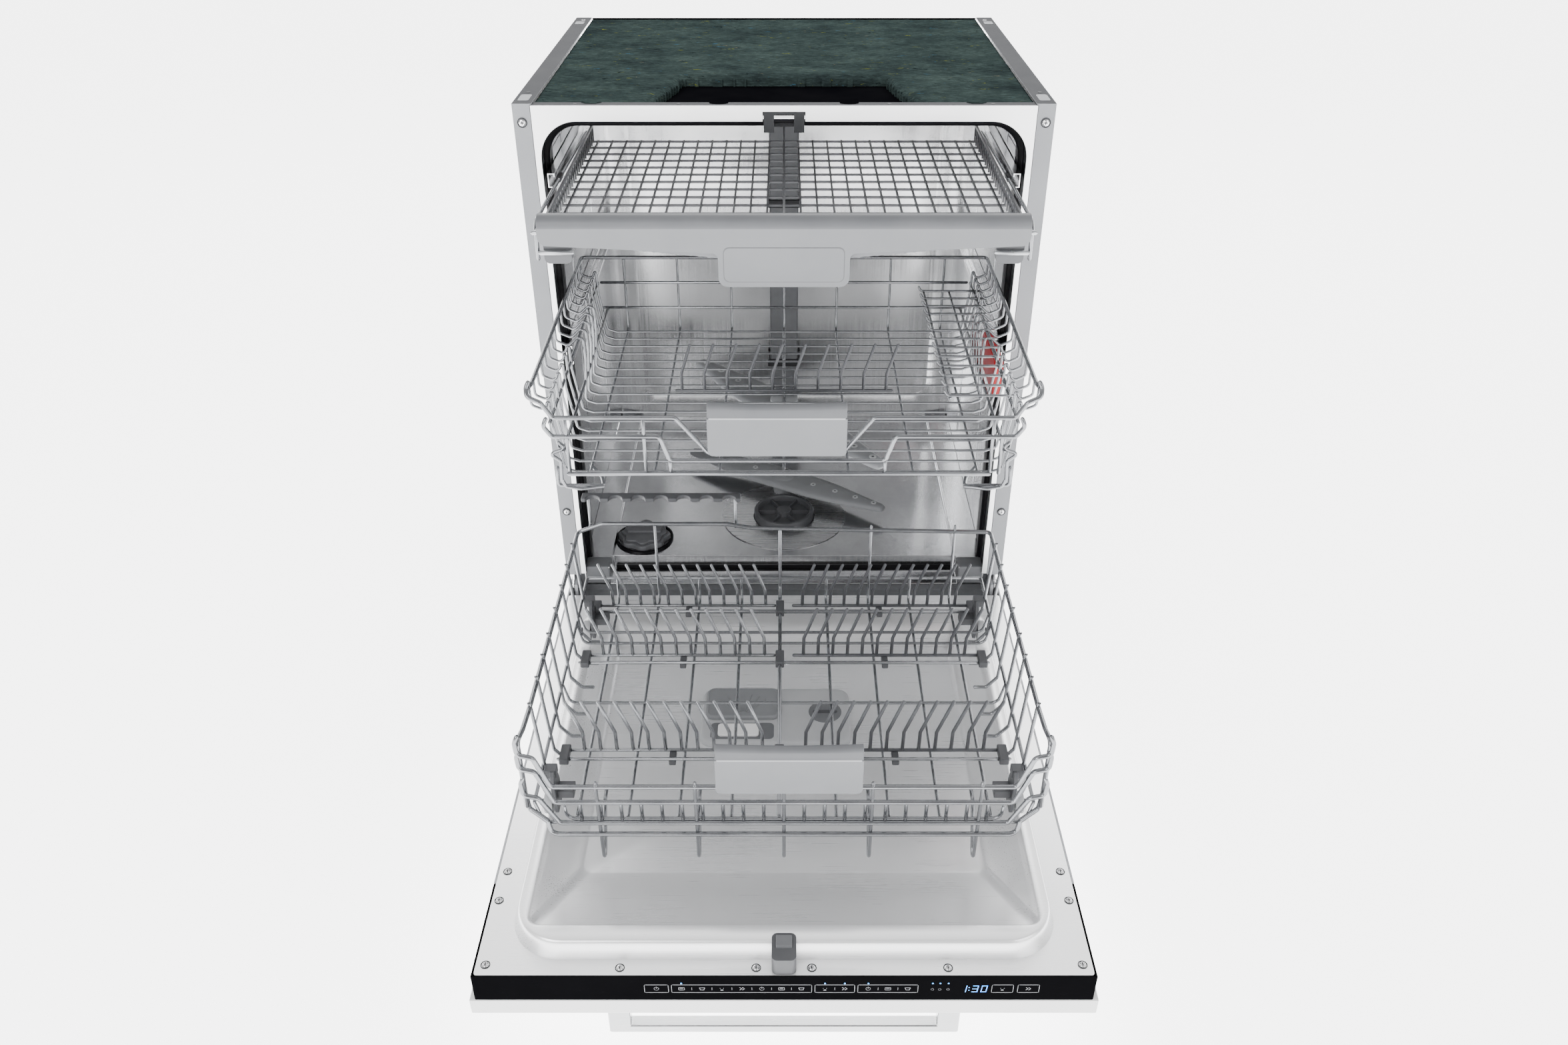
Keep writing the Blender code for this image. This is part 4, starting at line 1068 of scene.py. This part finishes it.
def make_handle(node_name, body, ends, low, high, rack_front):
    """A moulded grip: a flat face with round lower corners under a rolled, sagging top lip; the lip is
    painted darker as shade, and a lighter strip along the fold is a painted highlight.
    """
    front, back = rack_front - 0.0080, rack_front - 0.0003
    x0, x1 = ends
    middle, half = (x0 + x1) / 2, (x1 - x0) / 2
    seam = high - 0.0165
    face = [(x, min(z, seam)) for x, z in rounded(x0, x1, low, seam + 0.006, 0.0055)]
    plate = prism(face, 1, front + 0.0012, back)
    profile = [(back, seam + 0.0010), (front + 0.0006, seam + 0.0010), (front + 0.0001, seam + 0.0050)]
    for a in spread(170, 60, 10):
        angle = math.radians(a)
        profile.append((front + 0.0058 + 0.0057 * math.cos(angle), high - 0.0062 + 0.0062 * math.sin(angle)))
    profile.append((back, high - 0.0040))
    loops = []
    for x in spread(x0 + 0.0005, x1 - 0.0005, 17):
        sag = 0.0022 * (1 - ((x - middle) / half) ** 2)
        loops.append([(x, y, z - sag * max(0, (z - seam) / 0.0165)) for y, z in profile])
    # A lighter strip along the fold under the lip: a painted highlight.
    line = block((x0 + 0.002, x1 - 0.002), (front + 0.0008, back), (seam - 0.0006, seam + 0.0012))
    piece(f"{node_name}_shown", plate, body, "grey", [node_name], 0.0007)
    # The lip takes the darker lip material: painted shade on the up-facing roll.
    piece(f"{node_name}_lip", skin(loops), body, "lip", bevel=0.0007)
    piece(f"{node_name}_fold", line, body, "light_grey", bevel=0.0002)


def make_wheels():
    z, radius = 0.2103, 0.012
    for place, y in (("front", -0.455), ("rear", -0.155)):
        for side, sign in SIDES:
            name = f"{place}_{side}"
            x0, x1 = sign * 0.2430, sign * 0.2515
            tread = [
                (0.0028, x0), (0.0070, x0), (0.0078, x0 + sign * 0.0012), (0.0104, x0 + sign * 0.0012),
                (radius - 0.0004, x0), (radius, x0 + sign * 0.0010)
            ]
            tread += [
                (radius, x1 - sign * 0.0010), (radius - 0.0005, x1), (0.0104, x1),
                (0.0098, x1 - sign * 0.0018), (0.0060, x1 - sign * 0.0018), (0.0052, x1), (0.0028, x1)
            ]
            wheel = turned(tread, (y, z), 0, 40)
            piece(
                f"rack_wheel_{name}_shown", wheel, f"wheel_{name}", "light_grey", [f"rack_wheel_{name}"],
                sharp=50
            )
    clips = []
    for y in (-0.455, -0.155):
        outline = [
            (y - 0.010, 0.2045), (y + 0.010, 0.2045), (y + 0.013, 0.232), (y + 0.006, 0.252),
            (y - 0.010, 0.262), (y - 0.016, 0.248)
        ]
        plate = prism(outline, 0, 0.2362, 0.2405)
        section = [(0, 0.2380), (0.0024, 0.2380), (0.0024, 0.2540), (0.0040, 0.2540), (0.0036, 0.2552)]
        axle = turned([*section, (0, 0.2552)], (y, z), 0, 24)
        claw = block((0.2190, 0.2370), (y - 0.008, y + 0.008), (0.2235, 0.2330))
        lug = block((0.2350, 0.2475), (y - 0.006, y + 0.006), (0.2500, 0.2600))
        clips += [plate, axle, claw, lug]
    piece("wheel_clips", clips + [mirror(clip) for clip in clips], "lower_rack", "clip", bevel=0.0010)


def make_tines():
    base = 0.2330

    def row(y, height, lean, side):
        runs = [[(side * 0.010, y, base), (side * 0.234, y, base)]]
        for k in range(12):
            x = side * (0.0230 + 0.0175 * k)
            bend = base + height * 0.37
            runs.append(
                [(x, y, base), (x + side * 0.0006, y, bend), (x + side * lean, y - 0.001, base + height)]
            )
        return runs

    for body, y in (("lower_tines_front", -0.400), ("lower_tines_rear", -0.235)):
        for side, look, slot in ((-1, "wire", None), (1, "dark_wire", "dark_plastic")):
            words = "" if side > 0 else "_left"
            covers = [body] if side > 0 else ()
            runs = row(y, 0.0700, 0.0160, side)
            wires(f"{body}{words}_shown", runs, WIRE_ROD, body, look, covers)
    for (side, sign), look in zip(SIDES, ("wire", "dark_wire")):
        wires(f"fixed_tines_{side}", row(-0.134, 0.0640, 0.0150, sign), WIRE_ROD, "lower_rack", look)
    braces = [[(-0.2440, y, base), (0.2440, y, base)] for y in (-0.414, -0.249, -0.146)]
    wires("tine_braces", braces, WIRE_ROD, "lower_rack")
    clips = []
    for y in (-0.407, -0.242, -0.140):
        for x in (-0.236, -0.005, 0.236):
            clips += [block((x - 0.0052, x + 0.0052), (y - 0.0125, y + 0.0125), (0.2290, 0.2372))]
        for x in (-0.120, 0.120):
            clips += [block((x - 0.0038, x + 0.0038), (y - 0.0095, y + 0.0095), (0.2255, 0.2320))]
    piece("tine_clips", clips, "lower_rack", "clip", bevel=0.0012)


def make_stemware_rail():
    """The scalloped bar that stems lean against, at the back left of the lower rack."""
    outline = []
    low, high, y0 = -0.247, -0.053, -0.112
    count = 7
    pitch = (high - low) / count
    for k in range(count):
        x = low + pitch * (k + 0.5)
        outline += [(x - pitch / 2, y0)]
        outline += circle(x, y0, 0.0085, 180, 0, 9)
    outline += [(high, y0), (high, y0 + 0.0145), (low, y0 + 0.0145)]
    comb = prism(outline, 2, 0.3720, 0.3775)
    posts = []
    for x in (-0.2400, -0.060):
        posts.append([(x, y0 + 0.011, 0.3745), (x, y0 + 0.011, 0.3340), (x, LOW_BACK, 0.3330)])
    wires("stemware_rail_posts", posts, WIRE_ROD, "lower_rack")
    piece("stemware_rail", comb, "lower_rack", "clip", bevel=0.0012)


# ---------------------------------------------------------------- middle rack

MID_FRONT, MID_BACK, MID_FLOOR = -0.280, 0.118, 0.5020


def make_middle_rack():
    f, b = MID_FRONT + 0.002, MID_BACK
    thick, thin, rods = [], [], []
    tip = [
        (0.2350, f, 0.5725), (0.2453, f, 0.5895), (0.2590, f + 0.002, 0.5950), (0.2600, f + 0.008, 0.6020),
        (0.2565, f + 0.010, 0.6090)
    ]
    dip = [
        (-0.1105, f, 0.5725), (-0.0775, f - 0.001, 0.5320), (0.0598, f - 0.001, 0.5320), (0.0914, f, 0.5725)
    ]
    thick.append(flipped(tip) + dip + tip)
    tip = [(0.2375, f, 0.5510), (0.2456, f, 0.5630), (0.2415, f + 0.002, 0.5720)]
    dip = placed([(-0.1273, 0.5510), (-0.1182, 0.5228), (0.1049, 0.5228), (0.1140, 0.5510)], 1, f)
    thick.append(flipped(tip) + dip + tip)
    thick.append([(-0.2263, f, 0.5072), (0.2155, f, 0.5072)])
    rim = [(0.2580, f + 0.012, 0.6010), (0.2580, f + 0.030, 0.5975), (0.2580, b, 0.5975), (0, b, 0.5975)]
    thick.append(rim + flipped(rim[:-1]))
    # J-shaped side wires hang from the rim, turn in, run down the wall and cross the floor
    for y in spread(f + 0.014, 0.104, 17):
        tuck = 0.0125 if -0.125 < y < 0.0 else 0.0
        half = [(0.2580, y, 0.6000), (0.2575, y, 0.5800), (0.2440, y, 0.5740)]
        half += [(0.2395 - tuck, y, 0.5900), (0.2385 - tuck, y, 0.5560)]
        half += [(0.2300, y, MID_FLOOR + 0.004), (0.2180, y, MID_FLOOR)]
        thin.append(mirrored(half[::-1]))
    for x in spread(-0.2050, 0.2050, 7):
        run = [(x, f + 0.0015, 0.5085), (x, f + 0.012, MID_FLOOR - 0.0034)]
        thin.append(run + [(x, b - 0.010, MID_FLOOR - 0.0034), (x, b, MID_FLOOR), (x, b, 0.5975)])
    for x in (-0.2229, -0.1435, 0.2140, 0.2235):
        rods.append([(x, f + 0.001, 0.5725), (x, f + 0.001, 0.5060)])
    for x in (-0.1182, 0.1049):
        rods.append([(x, f + 0.001, 0.5228), (x, f + 0.001, 0.5060)])
    low = [(0.2290, f + 0.006, 0.5300), (0.2290, b, 0.5300)]
    high = [(0.2395, f + 0.004, 0.5640), (0.2395, b, 0.5640)]
    rods += both([low, high])
    for z in (0.5300, 0.5640):
        rods.append([(-0.2370, b, z), (0.2370, b, z)])
    snake = [(0.2274, 0.5356), (0.2312, 0.5317), (0.2401, 0.5284), (0.2410, 0.5252), (0.2325, 0.5186)]
    snake += [(0.2335, 0.4961), (0.2299, 0.4880), (0.2139, 0.4850)]
    snake = [(0.2340, f + 0.008, 0.5408), *placed(snake, 1, f + 0.007), (0.1900, f + 0.012, 0.4850)]
    rods += both([snake])
    hook = [(0.2380, f + 0.013, 0.5092), (0.2396, f + 0.013, 0.4860), (0.2124, f + 0.013, 0.4860)]
    hook += [(0.1910, f + 0.013, 0.4850), (0.1950, f + 0.030, 0.4860), (0.2081, f + 0.040, 0.4960)]
    rods += both([hook])
    wires("middle_rack_rims", thick, 0.0024, "middle_rack", "wire", ["middle_basket_wall"], 0.006)
    wires("middle_rack_rods", rods, 0.0019, "middle_rack", bend=0.004)
    wires("middle_rack_grid", thin, 0.0015, "middle_rack", "wire", ["middle_basket_floor"], 0.005)
    make_handle("middle_handle", "middle_rack", (-0.078, 0.064), 0.533, 0.592, MID_FRONT)
    base = 0.5070
    runs = [[(-0.128, -0.080, base), (0.128, -0.080, base)]]
    for x in spread(-0.120, 0.120, 10):
        runs.append([(x, -0.080, base), (x, -0.0805, base + 0.022), (x + 0.012, -0.082, base + 0.060)])
    wires("middle_tines_shown", runs, 0.0018, "middle_tines", "dark_wire", ["middle_tines"], 0.010)
    shelf = []
    for y in spread(-0.218, 0.078, 13):
        shelf.append([(0.2470, y, 0.5680), (0.2200, y, 0.5680), (0.1720, y, 0.5680), (0.1690, y, 0.5745)])
    for x in (0.1760, 0.2080, 0.2400):
        shelf.append([(x, -0.2200, 0.5655), (x, 0.0800, 0.5655)])
    wires("cup_shelf_shown", shelf, 0.0016, "cup_shelf", "wire", ["cup_shelf"])
    shape = [
        (-0.1118, 0.5145), (-0.0122, 0.5145), (-0.0122, 0.5480), (-0.0200, 0.5558), (-0.1040, 0.5558),
        (-0.1118, 0.5480)
    ]
    lever = prism(shape, 0, 0.2396, 0.2504)
    piece("height_lever_shown", lever, "height_lever", "red", ["height_lever"], 0.0016, 3)


# ---------------------------------------------------------------- third rack


def make_third_rack():
    front, half, tab = -0.172, 0.252, 0.068
    top, fold, side_low, mid_low, tab_low = 0.7445, 0.7325, 0.7140, 0.7060, 0.6702
    grow = 0.010
    right = arc(tab - grow, tab_low + grow, grow, spread(0, -math.pi / 2, 9))
    bends = spread(0, math.pi / 2, 6)
    hollow = [(tab + 0.006 - 0.006 * math.cos(a), mid_low - 0.006 + 0.006 * math.sin(a)) for a in bends]
    outer = arc(half - 0.009, side_low + 0.009, 0.009, spread(0, -math.pi / 2, 7))
    outline = [(half, fold)] + outer + hollow[::-1] + right
    outline += [(-x, z) for x, z in outline[::-1]]
    plate = prism(outline, 1, front, front + 0.003)
    roll = [(front + 0.012, fold - 0.002), (front + 0.0004, fold - 0.002), (front, fold)]
    for a in spread(175, 70, 10):
        angle = math.radians(a)
        roll.append((front + 0.0115 + 0.0114 * math.cos(angle), top - 0.0110 + 0.0110 * math.sin(angle)))
    roll.append((front + 0.012, top - 0.001))
    lip = prism(roll, 0, -half + 0.0006, half - 0.0006)
    # A lighter strip along the fold under the lip: a painted highlight.
    line = block(
        (-half + 0.001, half - 0.001), (front + 0.0001, front + 0.004), (fold - 0.0016, fold + 0.0004)
    )
    piece("third_front_bar_shown", plate, "third_rack", "grey", ["third_front_bar"], 0.0006)
    # The rolled lip takes the darker lip material: painted shade on the up-facing roll.
    piece("third_front_lip_shaded", lip, "third_rack", "lip", bevel=0.0006)
    piece("third_front_fold_highlight", line, "third_rack", "light_grey", bevel=0.0002)
    for depth, look, more in ((0.0003, "mid_grey", 0.0), (0.0006, "grey", -0.0007)):
        low, high = tab_low + 0.0055 - more, 0.7130 + more
        shape = rounded(-tab + 0.0055 - more, tab - 0.0055 + more, low, high, 0.006)
        piece(
            f"tab_panel_{look}", prism(shape, 1, front - depth, front + 0.002), "third_rack", look,
            bevel=0.0002
        )
    # behind the bar: a sloping apron with fine teeth, and a block at each end
    teeth = []
    for k in range(61):
        x = 0.205 - (0.205 - 0.0635) * k / 60
        teeth.append((x, 0.7125 - 0.0135 * k / 60 - (0.0006 if k % 4 == 2 else 0)))
    apron = prism([(0.205, 0.7200)] + teeth + [(0.0635, 0.7200)], 1, front + 0.0062, front + 0.0090)
    end = prism(rounded(0.2200, 0.2490, 0.6910, 0.7300, 0.0060), 1, front + 0.0125, front + 0.0200)
    piece("third_apron", [apron, mirror(apron)], "third_rack", "apron", bevel=0.0003)
    piece("third_end_blocks", [end, mirror(end)], "third_rack", "salt", bevel=0.0006)
    b, f = 0.2265, front + 0.0125
    floor, rim = 0.7130, 0.7480
    slats, rails = [], []
    for x in spread(-0.2400, 0.2400, 27):
        slats.append(block((x - 0.0011, x + 0.0011), (f, b), (floor, floor + 0.0026)))
    for y in spread(f + 0.004, b - 0.004, 14):
        slats.append(block((-0.2460, 0.2460), (y - 0.0016, y + 0.0016), (floor + 0.0002, floor + 0.0024)))
    walls = []
    for x in (-0.2462, 0.0, 0.2462):
        walls.append(block((x - 0.0012, x + 0.0012), (f, b), (floor + 0.0200, floor + 0.0235)))
        for y in spread(f + 0.004, b - 0.004, 27):
            walls.append(block((x - 0.0010, x + 0.0010), (y - 0.0012, y + 0.0012), (floor, floor + 0.0220)))
    piece(
        "third_tray_grid", slats + walls, "third_rack", "clip", ["third_tray"], 0.0002, 1,
    )
    rail = [(b, 0.7256), (0.0490, 0.7307), (front + 0.0220, 0.7343), (front + 0.0135, 0.7269)]
    rails += both([placed(rail + [(front + 0.0115, 0.6951)], 0, 0.2548)])
    rails.append([(-0.2480, b, rim), (0.2480, b, rim)])
    rails += both([[(0.2480, b, rim), (0.2480, b, floor)], [(0.2480, f, 0.7220), (0.2480, b, 0.7220)]])
    wires("third_tray_rails", rails, 0.0021, "third_rack", bend=0.006)
    caps = both([[(0.2480, front + 0.0080, 0.7257), (0.2590, front + 0.0080, 0.7257)]])
    caps += both([[(0.2170, front + 0.0090, 0.7040), (0.2535, front + 0.0090, 0.7040)]])
    wires("third_tray_pins", caps, 0.0026, "third_rack", "light_wire", bend=0.006)
    for side, sign in SIDES:
        runner = channel(sign * 0.2574, sign * 0.2656, 0.7250, 0.7410, -0.0098, b)
        piece(f"third_runner_{side}", runner, "third_rack", "chrome", bevel=0.0003)
        arm = block((sign * 0.2530, sign * 0.2580), (0.000, 0.020), (0.7280, 0.7340))
        piece(f"third_runner_{side}_arm", arm, "third_rack", "dark", bevel=0.0008)


# ---------------------------------------------------------------- studio

SKY_STRENGTH, FLOOR_GLOW = 2.1, 4.2
LENS, SENSOR, LENS_RISE = 28.03, 36.0, 0.0171
CAMERA_BACK, CAMERA_HEIGHT, CAMERA_DIP = 1.3848, 1.1417, 33.36


def area_light(name, place, target, size, power):
    light = bpy.data.lights.new(name, "AREA")
    light.shape = "RECTANGLE"
    light.size, light.size_y = size
    light.energy = power
    thing = bpy.data.objects.new(name, light)
    bpy.context.scene.collection.objects.link(thing)
    thing.location = place
    thing.rotation_euler = (Vector(target) - Vector(place)).to_track_quat("-Z", "Y").to_euler()


def make_studio():
    """A white floor that glows, under a sky that is bright behind the cabinet and dim before it."""
    world = bpy.data.worlds.new("studio")
    bpy.context.scene.world = world
    world.use_nodes = True
    tree = world.node_tree
    facing = node(tree, "ShaderNodeTexCoord").outputs["Generated"]
    across = node(tree, "ShaderNodeSeparateXYZ", {"Vector": facing}).outputs["Y"]
    span = {"Value": across, "From Min": -1.0, "From Max": 1.0}
    across = node(tree, "ShaderNodeMapRange", span).outputs["Result"]
    colour = ramp(tree, across, [(0.0, grey(0.24)), (0.45, grey(0.36)), (0.72, grey(1.0)), (1.0, grey(1.0))])
    tree.links.new(colour, tree.nodes["Background"].inputs["Color"])
    tree.nodes["Background"].inputs["Strength"].default_value = SKY_STRENGTH
    bm = bmesh.new()
    bmesh.ops.create_grid(bm, x_segments=1, y_segments=1, size=9)
    mesh = bpy.data.meshes.new("floor")
    bm.to_mesh(mesh)
    bm.free()
    floor = bpy.data.objects.new("studio_floor", mesh)
    bpy.context.scene.collection.objects.link(floor)
    floor.location.z = -0.0005
    made, tree, bsdf = shader("studio_floor", (0.88, 0.88, 0.88), 0.8, specular=0.1)
    bsdf.inputs["Emission Color"].default_value = (1, 1, 1, 1)
    bsdf.inputs["Emission Strength"].default_value = FLOOR_GLOW
    link(tree, bsdf, Roughness=ramp(tree, noise_of(tree, 3), [(0.3, grey(0.75)), (0.7, grey(0.9))]))
    mesh.materials.append(made)
    area_light("key", (-1.4, -2.4, 1.9), (0, 0, 0.4), (1.6, 1.6), 60)
    area_light("fill", (1.9, -2.0, 1.5), (0, 0, 0.4), (1.6, 1.6), 26)
    area_light("back", (0, 2.6, 2.4), (0, -0.2, 0.3), (2.8, 1.2), 45)


def make_camera():
    camera = bpy.data.cameras.new("camera")
    camera.lens, camera.sensor_width, camera.shift_y = LENS, SENSOR, LENS_RISE
    thing = bpy.data.objects.new("camera", camera)
    bpy.context.scene.collection.objects.link(thing)
    thing.location = (0, -CAMERA_BACK + SHIFT, CAMERA_HEIGHT)
    thing.rotation_euler = (math.radians(90 - CAMERA_DIP), 0, 0)
    bpy.context.scene.camera = thing


make_camera()
make_studio()
make_sides()
make_fascia()
make_tub()
make_felt()
make_rails()
make_base()
spray_arm("lower_spray_arm", "lower_arm", (0.0, 0.225), 0.2065, 0.009, 0.170, 2.6, (0.1903, 0.2175))
spray_arm("middle_spray_arm", "middle_arm", (0.0, -0.080), 0.478, 0.008, 0.175, -0.9, (0.470, 0.4985))
make_inner_panel()
make_door_shell()
make_print()
make_dispenser()
make_lower_rack()
make_middle_rack()
make_third_rack()
